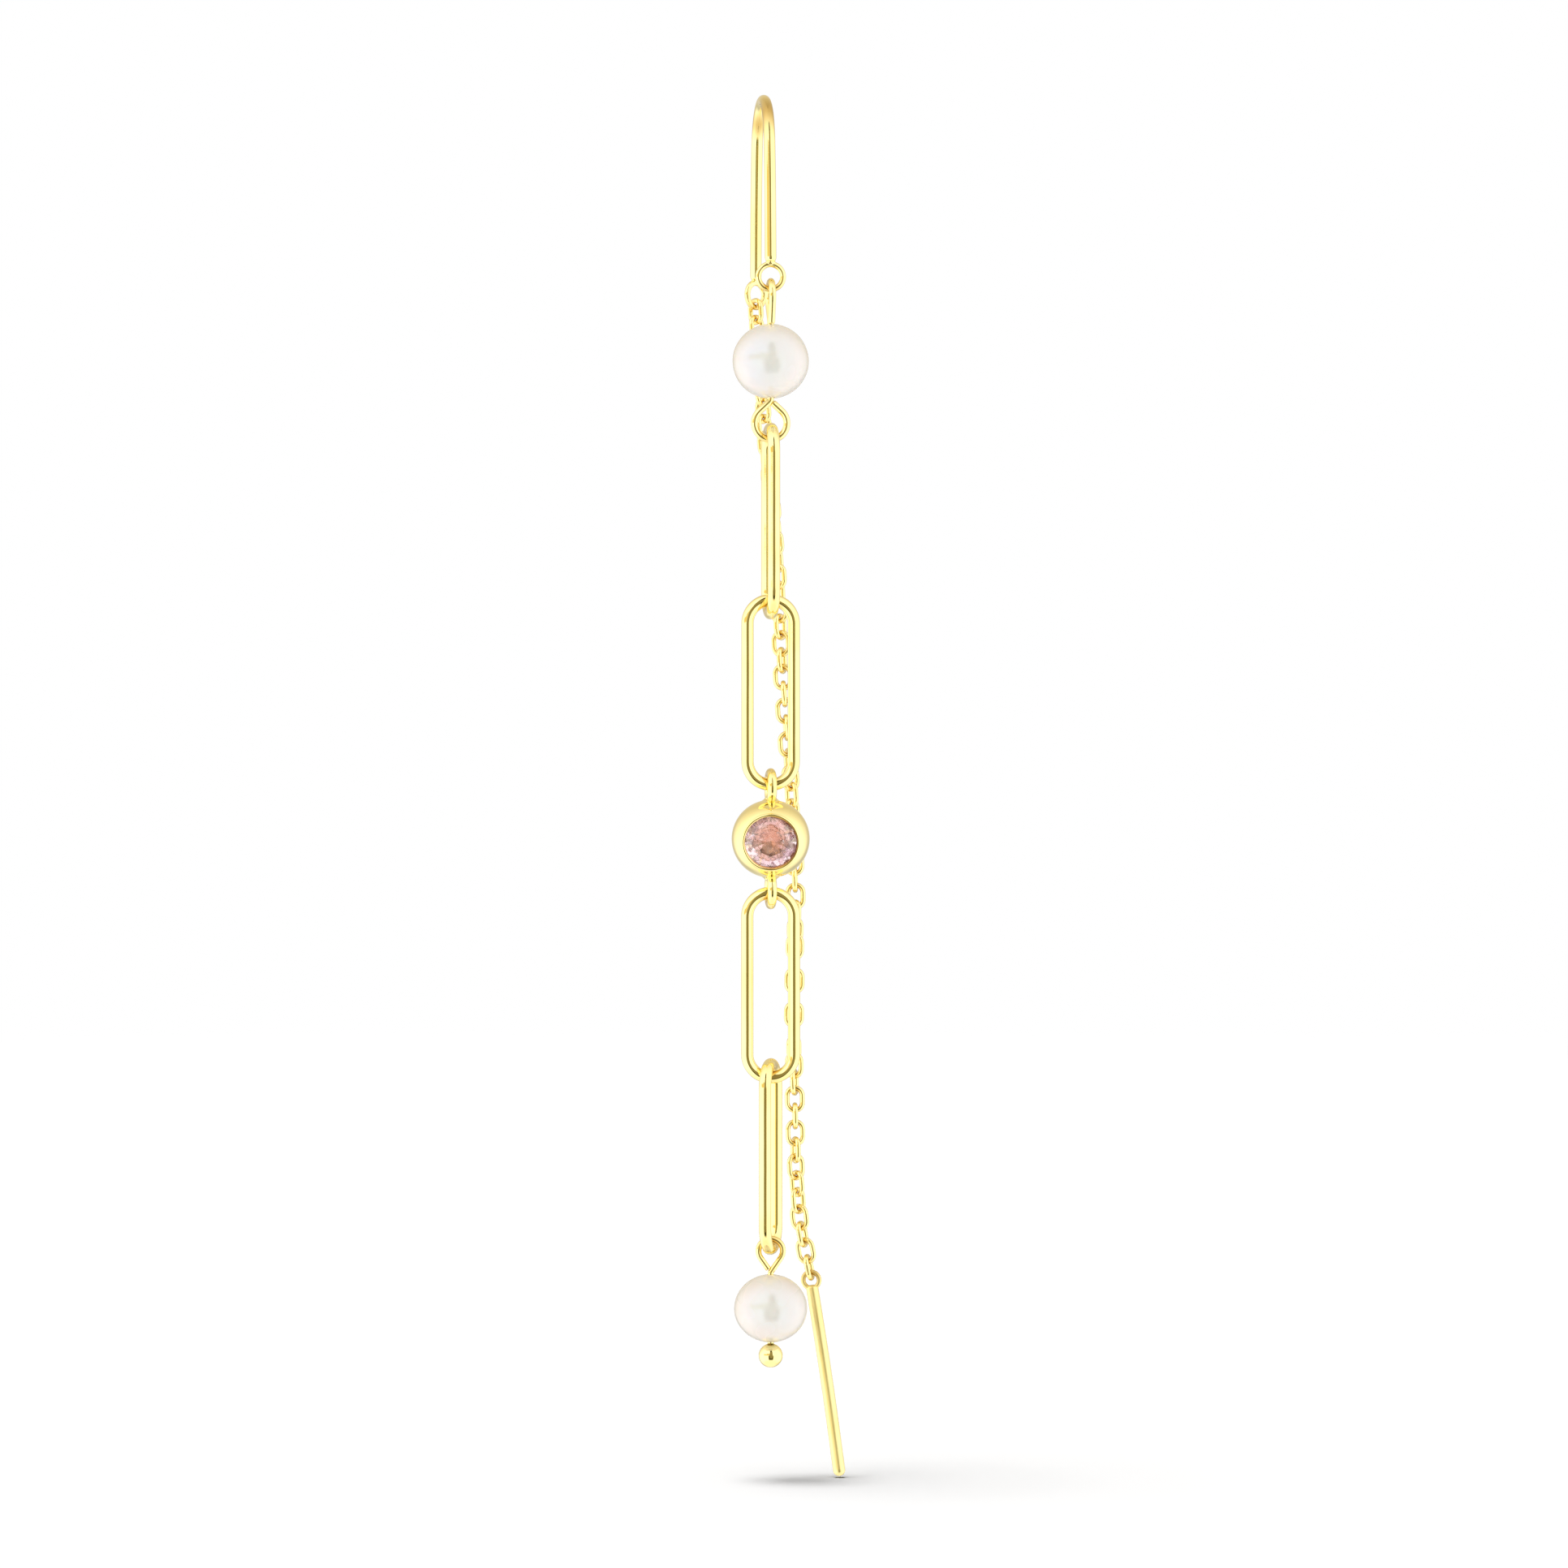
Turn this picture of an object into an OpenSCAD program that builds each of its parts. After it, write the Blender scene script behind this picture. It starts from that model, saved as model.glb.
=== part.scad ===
// Threader chain earring, hanging as it is worn.
// +X is to the viewer's right, +Y is towards the back of the ear, +Z is up.
// The origin is the inside of the ear wire's arch, where it sits in the piercing.

/* [Ear wire] */
// Diameter of the ear wire
ear_wire_d = 0.62; // [0.5:0.02:0.8]
// Radius of the arch, to the middle of the wire
arch_r = 2.8; // [2.6:0.1:3.4]
// Angle by which each leg leans out from the vertical
leg_splay = 4; // [0:0.5:8]
// Depth of the front ring's centre below the arch
front_ring_depth = 9.5; // [8:0.1:11]
// Depth of the rear ring's centre below the arch
rear_ring_depth = 10; // [8:0.1:11]
// Outer diameter of the rings soldered under the legs
leg_ring_d = 1.66; // [1.6:0.02:2]
// Wire diameter of those rings
leg_ring_wire_d = 0.32; // [0.26:0.02:0.34]
// Angle by which the rear ring is turned away from the front view
rear_ring_turn = 40; // [0:5:90]

/* [Upper pearl] */
// Width of the upper pearl
upper_pearl_w = 4.12; // [3.8:0.02:4.4]
// Height of the upper pearl
upper_pearl_h = 4.02; // [3.8:0.02:4.4]
// Wire diameter of the pin with an eye at each end
eye_pin_d = 0.38; // [0.3:0.02:0.42]
// Radius of the pin's upper eye, to the middle of the wire
upper_eye_r = 0.82; // [0.7:0.02:0.9]
// Radius of the pin's lower eye, to the middle of the wire
lower_eye_r = 0.88; // [0.8:0.02:1]

/* [Long links] */
// Outer length of a long link
link_length = 10.6; // [9:0.1:12]
// Outer width of a long link
link_width = 3.18; // [2.8:0.02:3.6]
// Wire diameter of a long link
link_wire_d = 0.66; // [0.5:0.02:0.7]

/* [Stone setting] */
// Diameter of the ball-shaped cup
cup_d = 4.2; // [4:0.05:4.6]
// Distance from the cup's cut front to its middle
cup_front = 1.48; // [1.44:0.02:1.52]
// Diameter of the cut stone
stone_d = 2.9; // [2.7:0.05:2.95]
// Angle by which the stone looks down
stone_tilt = 8; // [0:1:10]
// Angle by which the stone looks to the left
stone_turn = 7; // [0:1:10]
// Width of the stone's table, as a share of the stone's width
stone_table = 0.52; // [0.5:0.01:0.6]
// Outer diameter of the rings soldered to the cup
cup_ring_d = 2; // [1.9:0.02:2.2]
// Wire diameter of those rings
cup_ring_wire_d = 0.5; // [0.4:0.02:0.52]
// Distance from the cup's middle to the centre of each ring
cup_ring_offset = 2.8; // [2.6:0.05:3]
// Width of the solder collar between the cup and each ring
cup_collar_d = 1.7; // [1.4:0.05:1.9]

/* [Lower pearl] */
// Width of the lower pearl, which is a little flattened
lower_pearl_w = 3.94; // [3.6:0.02:4.2]
// Height of the lower pearl
lower_pearl_h = 3.66; // [3.4:0.02:4.2]
// Wire diameter of the pin with a ball at its foot
ball_pin_d = 0.32; // [0.28:0.02:0.4]
// Radius of the ball pin's eye, to the middle of the wire
ball_pin_eye_r = 0.66; // [0.6:0.02:0.7]
// Diameter of the ball at the pin's foot
ball_d = 1.3; // [1:0.05:1.6]

/* [Fine chain] */
// Number of oval links in the fine chain
chain_links = 58; // [50:1:58]
// Wire diameter of a chain link
chain_wire_d = 0.27; // [0.24:0.01:0.28]
// Outer width of a chain link
chain_link_w = 1.08; // [1.06:0.01:1.2]
// Distance between the centres of neighbouring chain links
chain_pitch = 0.92; // [0.9:0.01:0.95]

/* [Threader bar] */
// Diameter of the bar that is threaded through the ear
bar_d = 0.66; // [0.5:0.02:0.8]
// Length of the bar, without its eye
bar_length = 10.25; // [8:0.05:12]
// Angle by which the bar leans to the right
bar_lean = 7; // [0:0.5:10]
// Angle by which the bar's foot comes forward
bar_slant = 12; // [0:1:14]
// Outer diameter of the eye soldered to the bar
bar_eye_d = 1.14; // [1.1:0.02:1.4]
// Wire diameter of that eye
bar_eye_wire_d = 0.26; // [0.2:0.02:0.3]

/* [Hidden] */
$fn = 48;

// Gap left between two pieces that hang in each other
hang_gap = 0.06;
// Gap left between two links of the fine chain
chain_gap = 0.14;
// Gap between a pearl's hole and the pin through it
drill_gap = 0.05;
// Gap between a pearl and the eye or ball that keeps it on its pin
pearl_gap = 0.06;
// How deep a soldered piece sinks into the one it is soldered to
solder = 0.12;

// Ear wire: its legs start where the arch ends and run straight down and out
arch_z = -(arch_r - ear_wire_d / 2);
leg_top_y = arch_r * cos(leg_splay);
leg_top_z = arch_z + arch_r * sin(leg_splay);
leg_ring_r = (leg_ring_d - leg_ring_wire_d) / 2;
function leg_y(depth) = leg_top_y + (leg_top_z + depth) * tan(leg_splay);
front_y = -leg_y(front_ring_depth);
rear_y = leg_y(rear_ring_depth);

// Each further stretch of a bent pin is this much thinner, and starts this far inside the last
seam_step = 0.01;
seam_lap = 0.03;

// Heights down the front drop: each piece hangs in the one above it.
// A "seat" is the height of the wire that carries the next piece.
function hang(seat, upper_d, lower_d) = seat + (upper_d + lower_d) / 2 + hang_gap;
upper_eye_z = hang(-front_ring_depth - leg_ring_r, leg_ring_wire_d, eye_pin_d) - upper_eye_r;
upper_eye_tip = 1.4;
upper_pearl_z = upper_eye_z - upper_eye_tip - pearl_gap - upper_pearl_h / 2;
lower_eye_tip = 1.26;
lower_eye_z = upper_pearl_z - upper_pearl_h / 2 - pearl_gap - lower_eye_tip;
link_pitch = link_length - 2 * link_wire_d - hang_gap;
link_1_z = hang(lower_eye_z - lower_eye_r, eye_pin_d, link_wire_d) - (link_length - link_wire_d) / 2;
link_2_z = link_1_z - link_pitch;
cup_ring_r = (cup_ring_d - cup_ring_wire_d) / 2;
cup_z = hang(link_2_z - (link_length - link_wire_d) / 2, link_wire_d, cup_ring_wire_d)
    - cup_ring_r - cup_ring_offset;
link_3_z = hang(cup_z - cup_ring_offset - cup_ring_r, cup_ring_wire_d, link_wire_d)
    - (link_length - link_wire_d) / 2;
link_4_z = link_3_z - link_pitch;
ball_eye_z = hang(link_4_z - (link_length - link_wire_d) / 2, link_wire_d, ball_pin_d) - ball_pin_eye_r;
ball_eye_tip = 1.2;
lower_pearl_z = ball_eye_z - ball_eye_tip - pearl_gap - lower_pearl_h / 2;
ball_z = lower_pearl_z - lower_pearl_h / 2 - pearl_gap - ball_d / 2;

// Turns about the vertical of the long links, from the front view
link_turns = [91, 2, -4, 69];

// Fine chain: columns are depth below the arch, X and Y of the chain's middle line
chain_route = [
    [rear_ring_depth, 0.00, rear_y],
    [rear_ring_depth + 1, 0.00, rear_y],
    [17.0, 0.36, 2.53],
    [24.3, 0.95, 1.70],
    [31.0, 1.22, 1.12],
    [37.3, 1.68, 0.98],
    [43.0, 1.87, 0.75],
    [50.6, 1.72, 0.36],
    [57.7, 1.80, 0.06],
    [60.6, 2.00, -0.04],
    [64.0, 2.70, -0.10],
    [66.0, 3.10, -0.10]
];
route_x = [for (row = chain_route) [row[0], row[1]]];
route_y = [for (row = chain_route) [row[0], row[2]]];
function route(depth) = [lookup(depth, route_x), lookup(depth, route_y), -depth];
// Columns are the link's number and how far the chain has twisted there
chain_twist = [
    [1, 40], [20, 50], [25, 88], [27, 92], [36, 180], [41, 268],
    [43, 272], [48, 358], [50, 362], [54, 408], [58, 430]
];
chain_link_l = chain_pitch + 2 * chain_wire_d + chain_gap;
chain_top = rear_ring_depth + leg_ring_r - leg_ring_wire_d / 2 - chain_gap
    - chain_wire_d + chain_link_l / 2;
// Depth that lies one pitch further along the route
function next_depth(depth) =
    let (step = route(depth + chain_pitch) - route(depth))
    depth + chain_pitch * chain_pitch / norm(step);
function depths(depth, count) =
    count == 0 ? [] : concat([depth], depths(next_depth(depth), count - 1));
chain_depths = depths(chain_top, chain_links);
chain_points = [for (depth = chain_depths) route(depth)];

// Threader bar: its eye hangs in the last chain link
bar_eye_r = (bar_eye_d - bar_eye_wire_d) / 2;
last_link = chain_points[chain_links - 1];
bar_eye_drop = chain_link_l / 2 - chain_wire_d - chain_gap + bar_eye_d / 2 - bar_eye_wire_d;
bar_eye_at = last_link + bar_eye_drop * [0.16, 0, -0.987];
bar_eye_turn = -20;

// A stretch of round wire on a circle about +Z, from one angle to another
module wire_arc(radius, wire_d, from, to) {
    rotate([0, 0, from])
        rotate_extrude(angle = to - from)
            translate([radius, 0])
                circle(d = wire_d);
}

// A straight wire that runs on from the end of an arc: dir is 1 past its far end, -1 past its near end
module wire_tail(radius, wire_d, angle, length, dir, lap = 0) {
    rotate([0, 0, angle])
        translate([radius, -dir * lap])
            rotate([-90 * dir, 0, 0])
                cylinder(d = wire_d, h = length + lap);
}

// Stands children that lie flat upright, to face the viewer after a turn about the vertical
module upright(turn = 0) {
    rotate([0, 0, turn])
        rotate([90, 0, 0])
            children();
}

// A closed ring of round wire, standing
module ring(outer_d, wire_d, turn = 0) {
    upright(turn)
        rotate_extrude()
            translate([(outer_d - wire_d) / 2, 0])
                circle(d = wire_d);
}

// A closed link with straight sides and round ends, standing, centred
module long_oval(length, width, wire_d, turn = 0) {
    bend_r = (width - wire_d) / 2;
    side = length - width;
    upright(turn) {
        translate([0, side / 2])
            wire_arc(bend_r, wire_d, 0, 180);
        translate([0, -side / 2])
            wire_arc(bend_r, wire_d, 180, 360);
        for (x = [-bend_r, bend_r])
            translate([x, side / 2, 0])
                rotate([90, 0, 0])
                    cylinder(d = wire_d, h = side);
    }
}

// An eye bent from the end of a pin, standing, with the pin below.
// The wire swings out of the pin's line, runs round, and its cut end rests against the pin.
// Each further stretch is a hair thinner and starts a little inside the one before it.
module pin_eye(radius, tip, wire_d, turn = 0) {
    bend_r = (tip * tip - radius * radius) / (2 * radius);
    bend = acos(bend_r / (radius + bend_r));
    lap_angle = asin(seam_lap / bend_r);
    end_length = (radius * cos(bend) - wire_d / 4) / sin(bend);
    upright(turn) {
        wire_arc(radius, wire_d, -bend, 180 + bend);
        wire_tail(radius, wire_d - seam_step, 180 + bend, end_length, 1, seam_lap);
        translate([bend_r, -tip])
            wire_arc(bend_r, wire_d - seam_step, 180 - bend - lap_angle, 180);
    }
}

// The straight stretch of a pin, from its upper to its lower end
module pin_shank(top, bottom, wire_d) {
    translate([0, 0, bottom])
        cylinder(d = wire_d - 2 * seam_step, h = top - bottom);
}

// A pearl with its hole along +Z: a ball whose middle is widened to the given width
module pearl(width, height, hole_d) {
    widening = (width - height) / 2;
    rotate_extrude()
        intersection() {
            union() {
                translate([widening, 0])
                    circle(d = height);
                translate([0, -height / 2])
                    square([widening, height]);
            }
            translate([hole_d / 2, -height])
                square([width, 2 * height]);
        }
}

// A leg of the ear wire and its ring; side is 1 for the back one and -1 for the front one
module leg(side, ring_depth, ring_turn) {
    foot_depth = ring_depth - leg_ring_r - solder / 2;
    mirror([0, side > 0 ? 0 : 1, 0])
        translate([0, 0, arch_z])
            rotate([90, 0, 90])
                wire_tail(arch_r, ear_wire_d, leg_splay, (foot_depth + leg_top_z) / cos(leg_splay), -1);
    translate([0, side * leg_y(ring_depth), -ring_depth])
        ring(leg_ring_d, leg_ring_wire_d, ring_turn);
}

module ear_wire() {
    color("gold") {
        translate([0, 0, arch_z])
            rotate([90, 0, 90])
                wire_arc(arch_r, ear_wire_d, leg_splay, 180 - leg_splay);
        leg(-1, front_ring_depth, 0);
        leg(1, rear_ring_depth, rear_ring_turn);
    }
}

module eye_pin() {
    shank_top = upper_eye_z - upper_eye_tip + seam_lap;
    shank_bottom = lower_eye_z + lower_eye_tip - seam_lap;
    color("gold")
        translate([0, front_y, 0]) {
            translate([0, 0, upper_eye_z])
                pin_eye(upper_eye_r, upper_eye_tip, eye_pin_d, 90);
            translate([0, 0, lower_eye_z])
                mirror([0, 0, 1])
                    pin_eye(lower_eye_r, lower_eye_tip, eye_pin_d, 0);
            pin_shank(shank_top, shank_bottom, eye_pin_d);
        }
}

module upper_pearl() {
    color("ivory")
        translate([0, front_y, upper_pearl_z])
            pearl(upper_pearl_w, upper_pearl_h, eye_pin_d + 2 * drill_gap);
}

module long_link(height, turn) {
    color("gold")
        translate([0, front_y, height])
            long_oval(link_length, link_width, link_wire_d, turn);
}

// Stone and its seat: depths run back from the cup's cut front, where the table lies
stone_gap = 0.04;
stone_r = stone_d / 2;
stone_table_r = stone_table * stone_r;
stone_crown = 0.38;
stone_girdle = 0.06;
stone_pavilion = 1.2;
// The cup's lip closes over the stone's edge
lip_overhang = 0.07;
lip_clearance = 0.1;
lip_r = stone_r - lip_overhang;
seat_depth = stone_crown + stone_girdle + stone_gap;

// Places children drawn with the cup's cut front at Z = 0, facing +Z
module in_cup_front() {
    rotate([stone_tilt, 0, -stone_turn])
        translate([0, -cup_front, 0])
            rotate([90, 0, 0])
                children();
}

// The hole that the stone is set in
module stone_seat() {
    translate([0, 0, -stone_crown])
        cylinder(r = lip_r, h = stone_crown + 1);
    translate([0, 0, -seat_depth])
        cylinder(r = stone_r + stone_gap, h = seat_depth - stone_crown + lip_clearance);
    translate([0, 0, -seat_depth - stone_pavilion])
        cylinder(r1 = 0.12, r2 = stone_r - 0.02, h = stone_pavilion + 0.01);
}

// Solder that tapers from the cup's top to the ring above it
collar_top_d = 0.68;
collar_rise = 0.12;
collar_sink = 0.1;
collar_foot_z = sqrt(pow(cup_d / 2, 2) - pow(cup_collar_d / 2, 2)) - collar_sink;
module solder_collar() {
    translate([0, 0, collar_foot_z])
        cylinder(d1 = cup_collar_d, d2 = collar_top_d, h = cup_d / 2 + collar_rise - collar_foot_z);
}

module stone_cup() {
    color("gold")
        translate([0, front_y, cup_z]) {
            difference() {
                sphere(d = cup_d);
                in_cup_front() {
                    stone_seat();
                    translate([-cup_d, -cup_d, 0])
                        cube([2 * cup_d, 2 * cup_d, cup_d]);
                }
            }
            for (side = [-1, 1]) {
                translate([0, 0, side * cup_ring_offset])
                    ring(cup_ring_d, cup_ring_wire_d, 90);
                rotate([side > 0 ? 0 : 180, 0, 0])
                    solder_collar();
            }
        }
}

// Round brilliant cut: corner points on circles, joined into flat facets.
// A crown or pavilion plane falls evenly from the girdle, so its height follows from its radius.
function circle_points(radius, count, offset, height) =
    [for (i = [0:count - 1])
        let (angle = 360 * i / count + offset)
        [radius * cos(angle), radius * sin(angle), height]];
star_r = 1.12;
star_height = stone_crown * (stone_r - star_r * cos(22.5)) / (stone_r - stone_table_r);
split_r = 0.34;
split_height = -stone_girdle - stone_pavilion * (1 - split_r * cos(22.5) / stone_r);
stone_points = concat(
    circle_points(stone_table_r, 8, 0, stone_crown),
    circle_points(star_r, 8, 22.5, star_height),
    circle_points(stone_r, 16, 0, 0),
    circle_points(stone_r, 16, 0, -stone_girdle),
    circle_points(split_r, 8, 22.5, split_height),
    [[0, 0, -stone_girdle - stone_pavilion]]
);

module stone() {
    color("pink")
        translate([0, front_y, cup_z])
            in_cup_front()
                translate([0, 0, -stone_crown])
                    hull()
                        polyhedron(
                            points = stone_points,
                            faces = [for (i = [0:len(stone_points) - 3]) [i, i + 1, i + 2]]
                        );
}

module ball_pin() {
    color("gold")
        translate([0, front_y, 0]) {
            translate([0, 0, ball_eye_z])
                pin_eye(ball_pin_eye_r, ball_eye_tip, ball_pin_d, 0);
            pin_shank(ball_eye_z - ball_eye_tip + seam_lap, ball_z, ball_pin_d);
            translate([0, 0, ball_z])
                sphere(d = ball_d);
        }
}

module lower_pearl() {
    color("ivory")
        translate([0, front_y, lower_pearl_z])
            pearl(lower_pearl_w, lower_pearl_h, ball_pin_d + 2 * drill_gap);
}

// Each link lies along the route, a quarter turn from the one above and a little more
module fine_chain() {
    color("gold")
        for (i = [0:chain_links - 1]) {
            before = chain_points[max(i - 1, 0)];
            after = chain_points[min(i + 1, chain_links - 1)];
            along = before - after;
            translate(chain_points[i])
                rotate([0, acos(along[2] / norm(along)), atan2(along[1], along[0])])
                    rotate([0, 0, -atan2(along[1], along[0])])
                        long_oval(
                            chain_link_l, chain_link_w, chain_wire_d,
                            90 * (i + 1) + lookup(i + 1, chain_twist)
                        );
        }
}

module threader_bar() {
    color("gold")
        translate(bar_eye_at) {
            rotate([0, -bar_lean, 0]) {
                ring(bar_eye_d, bar_eye_wire_d, bar_eye_turn);
                translate([0, 0, -bar_eye_r])
                    rotate([-bar_slant, 0, 0])
                        translate([0, 0, -solder / 2 - bar_length + bar_d / 2]) {
                            cylinder(d = bar_d, h = bar_length - bar_d / 2 + solder);
                            sphere(d = bar_d);
                        }
            }
        }
}

ear_wire();
eye_pin();
upper_pearl();
long_link(link_1_z, link_turns[0]);  // long_link_1
long_link(link_2_z, link_turns[1]);  // long_link_2
stone_cup();
stone();
long_link(link_3_z, link_turns[2]);  // long_link_3
long_link(link_4_z, link_turns[3]);  // long_link_4
ball_pin();
lower_pearl();
fine_chain();
threader_bar();
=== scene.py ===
"""Threader chain earring: pearls, long links and a stone in front, fine chain and bar behind.

The classes hold their sizes in millimetres, and Surface.to_object brings them to metres. The axes
are the frame's: +X is to the viewer's right, +Y towards the back of the ear and +Z up. The origin
is inside the ear wire's arch.
"""

import logging
import math
from abc import ABC, abstractmethod
from dataclasses import dataclass, field
from enum import Enum, IntEnum
from typing import ClassVar

import bpy
import numpy as np
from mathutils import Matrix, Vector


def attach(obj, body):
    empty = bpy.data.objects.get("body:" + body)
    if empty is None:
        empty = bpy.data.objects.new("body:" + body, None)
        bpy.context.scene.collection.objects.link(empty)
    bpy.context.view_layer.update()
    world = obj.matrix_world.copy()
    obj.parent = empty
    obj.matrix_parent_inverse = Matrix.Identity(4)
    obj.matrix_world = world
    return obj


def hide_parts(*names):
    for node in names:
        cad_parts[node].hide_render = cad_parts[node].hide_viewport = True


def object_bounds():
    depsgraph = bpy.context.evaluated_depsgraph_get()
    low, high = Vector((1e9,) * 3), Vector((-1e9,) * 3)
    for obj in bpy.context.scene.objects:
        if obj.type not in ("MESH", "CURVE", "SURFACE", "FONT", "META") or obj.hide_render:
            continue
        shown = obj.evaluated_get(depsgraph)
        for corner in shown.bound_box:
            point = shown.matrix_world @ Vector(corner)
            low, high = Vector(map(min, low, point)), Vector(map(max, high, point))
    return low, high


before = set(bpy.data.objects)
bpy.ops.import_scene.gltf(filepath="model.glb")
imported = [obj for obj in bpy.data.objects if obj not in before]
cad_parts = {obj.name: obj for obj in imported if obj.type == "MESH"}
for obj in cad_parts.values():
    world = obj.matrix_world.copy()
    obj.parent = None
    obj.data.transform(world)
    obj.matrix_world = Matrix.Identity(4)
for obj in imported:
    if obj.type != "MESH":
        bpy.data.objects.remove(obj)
CAD_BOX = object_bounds()

log = logging.getLogger("chain_earring")

MM = 0.001
TURN = 2 * math.pi
UP = np.array([0.0, 0.0, 1.0])

Array = np.ndarray
Colour = tuple[float, float, float]
Point = tuple[float, float, float]
Pair = tuple[float, float]
Stops = tuple[tuple[float, Colour], ...]
Socket = bpy.types.NodeSocket
Value = float | Socket
Inputs = dict[str | int, object]


class Body(Enum):
    """The two bodies of the frame: what hangs from the ear, and what swings in front."""

    HOOK = "hook"
    DROP = "drop"


class Slot(Enum):
    """The record's material slots."""

    GOLD = "gold"
    PEARL = "pearl"
    STONE = "stone"


class Axis(Enum):
    """The frame's axes."""

    X = 0
    Y = 1
    Z = 2


class WireEnd(Enum):
    """How a wire's end is worked: the share of the wire's radius that is rounded off."""

    CUT = 0.2
    DOMED = 0.97


class Eye(Enum):
    """Which way an eye points from its pin."""

    ABOVE = 1
    BELOW = -1


class Rest(Enum):
    """What the cut end of an eye rests against: the straight pin, or the wire that swings out."""

    PIN = "pin"
    SWING = "swing"


class Corner(IntEnum):
    """Where each kind of corner starts in the cut stone's list of points."""

    TABLE = 0
    STAR = 8
    UPPER = 16
    LOWER = 32
    SPLIT = 48
    POINT = 56
    MIDDLE = 57


# Shapes

# Angles round a wire's rounded end, from just off its middle to its full width
END_ANGLES = np.radians(np.linspace(6, 90, 7))
# How far up and down a drop of solder is turned, in degrees, and its rows and columns
SOLDER_LIFT, SOLDER_ROWS, SOLDER_COLUMNS = 84, 15, 24


def unit(vectors: Array) -> Array:
    """Divides each vector by its own length."""
    return vectors / np.linalg.norm(vectors, axis=-1, keepdims=True)


def once_round(count: int) -> Array:
    """Gives even angles that go once round, in radians."""
    return np.arange(count) * TURN / count


def turned_about(axis: Axis, degrees: float) -> Array:
    """Gives the matrix that turns about an axis, from the next axis towards the one after it.

    Args:
        axis: The axis that stays.
        degrees: Angle of the turn.

    Returns:
        The matrix, whose columns are where the three axes go.
    """
    cos, sin = math.cos(math.radians(degrees)), math.sin(math.radians(degrees))
    first, second = (axis.value + 1) % 3, (axis.value + 2) % 3
    matrix = np.eye(3)
    matrix[first, first] = matrix[second, second] = cos
    matrix[first, second], matrix[second, first] = -sin, sin
    return matrix


@dataclass(frozen=True)
class Line:
    """A wire's middle line: its points, and the direction across its bends at each of them."""

    points: Array
    across: Array
    closed: bool = False

    def steps(self) -> Array:
        """Measures the distances between neighbouring points."""
        return np.linalg.norm(np.diff(self.points, axis=0), axis=1)

    def length(self) -> float:
        """Adds up the steps."""
        return float(self.steps().sum())

    def spaced(self, stations: Array) -> "Line":
        """Takes points of the line, by straight steps between its own points.

        Args:
            stations: Distances along the line.

        Returns:
            The line through the points there.
        """
        along = np.concatenate([[0.0], np.cumsum(self.steps())])

        def take(values: Array) -> Array:
            """Reads each coordinate at the stations."""
            return np.stack([np.interp(stations, along, column) for column in values.T], axis=1)

        return Line(take(self.points), take(self.across), self.closed)


@dataclass
class Bending:
    """A wire being bent flat on the bench, as complex numbers: real is level, imaginary is up."""

    at: complex
    heading: complex
    spacing: float = 0.02
    drawn: list[Array] = field(default_factory=list)

    def straight(self, length: float) -> "Bending":
        """Runs on by a straight stretch.

        Args:
            length: Length of the stretch.

        Returns:
            The same wire, ready for its next stretch.
        """
        count = max(2, round(length / self.spacing))
        self.drawn.append(self.at + self.heading * np.linspace(0, length, count))
        self.at = self.at + self.heading * length
        return self

    def bend(self, radius: float, degrees: float) -> "Bending":
        """Runs on round a circle: centre - (centre - start) turned evenly from 0 to the angle.

        Args:
            radius: Radius to the middle of the wire.
            degrees: Angle of the bend, more than 0 to the left and less than 0 to the right.

        Returns:
            The same wire, ready for its next stretch.
        """
        side = 1j * math.copysign(1, degrees)
        centre = self.at + side * self.heading * radius
        angle = math.radians(degrees)
        count = max(4, round(abs(angle) * radius / self.spacing))
        turned = np.exp(1j * np.linspace(0, angle, count))
        self.drawn.append(centre - side * self.heading * radius * turned)
        self.at = complex(self.drawn[-1][-1])
        self.heading = self.heading * complex(turned[-1])
        return self

    def outline(self) -> Array:
        """Joins the stretches, without the points that they share."""
        return np.concatenate([self.drawn[0]] + [stretch[1:] for stretch in self.drawn[1:]])


def stand(
    outline: Array, turn: float, origin: Point, eye: Eye = Eye.ABOVE, closed: bool = False
) -> Line:
    """Stands a flat outline upright: level part along the turned +X, upward part along +Z or -Z.

    Args:
        outline: Complex points of the flat outline.
        turn: Angle about the vertical, from the front view, in degrees.
        origin: Where the outline's zero point goes.
        eye: Whether the outline's upward part runs up or down.
        closed: Whether the outline's last point is followed by its first.

    Returns:
        The line in space.
    """
    level, back, up = turned_about(Axis.Z, turn).T
    raised = eye.value * outline.imag[:, None] * up
    points = np.asarray(origin) + outline.real[:, None] * level + raised
    return Line(points, np.tile(-back, (len(points), 1)), closed)


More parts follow.
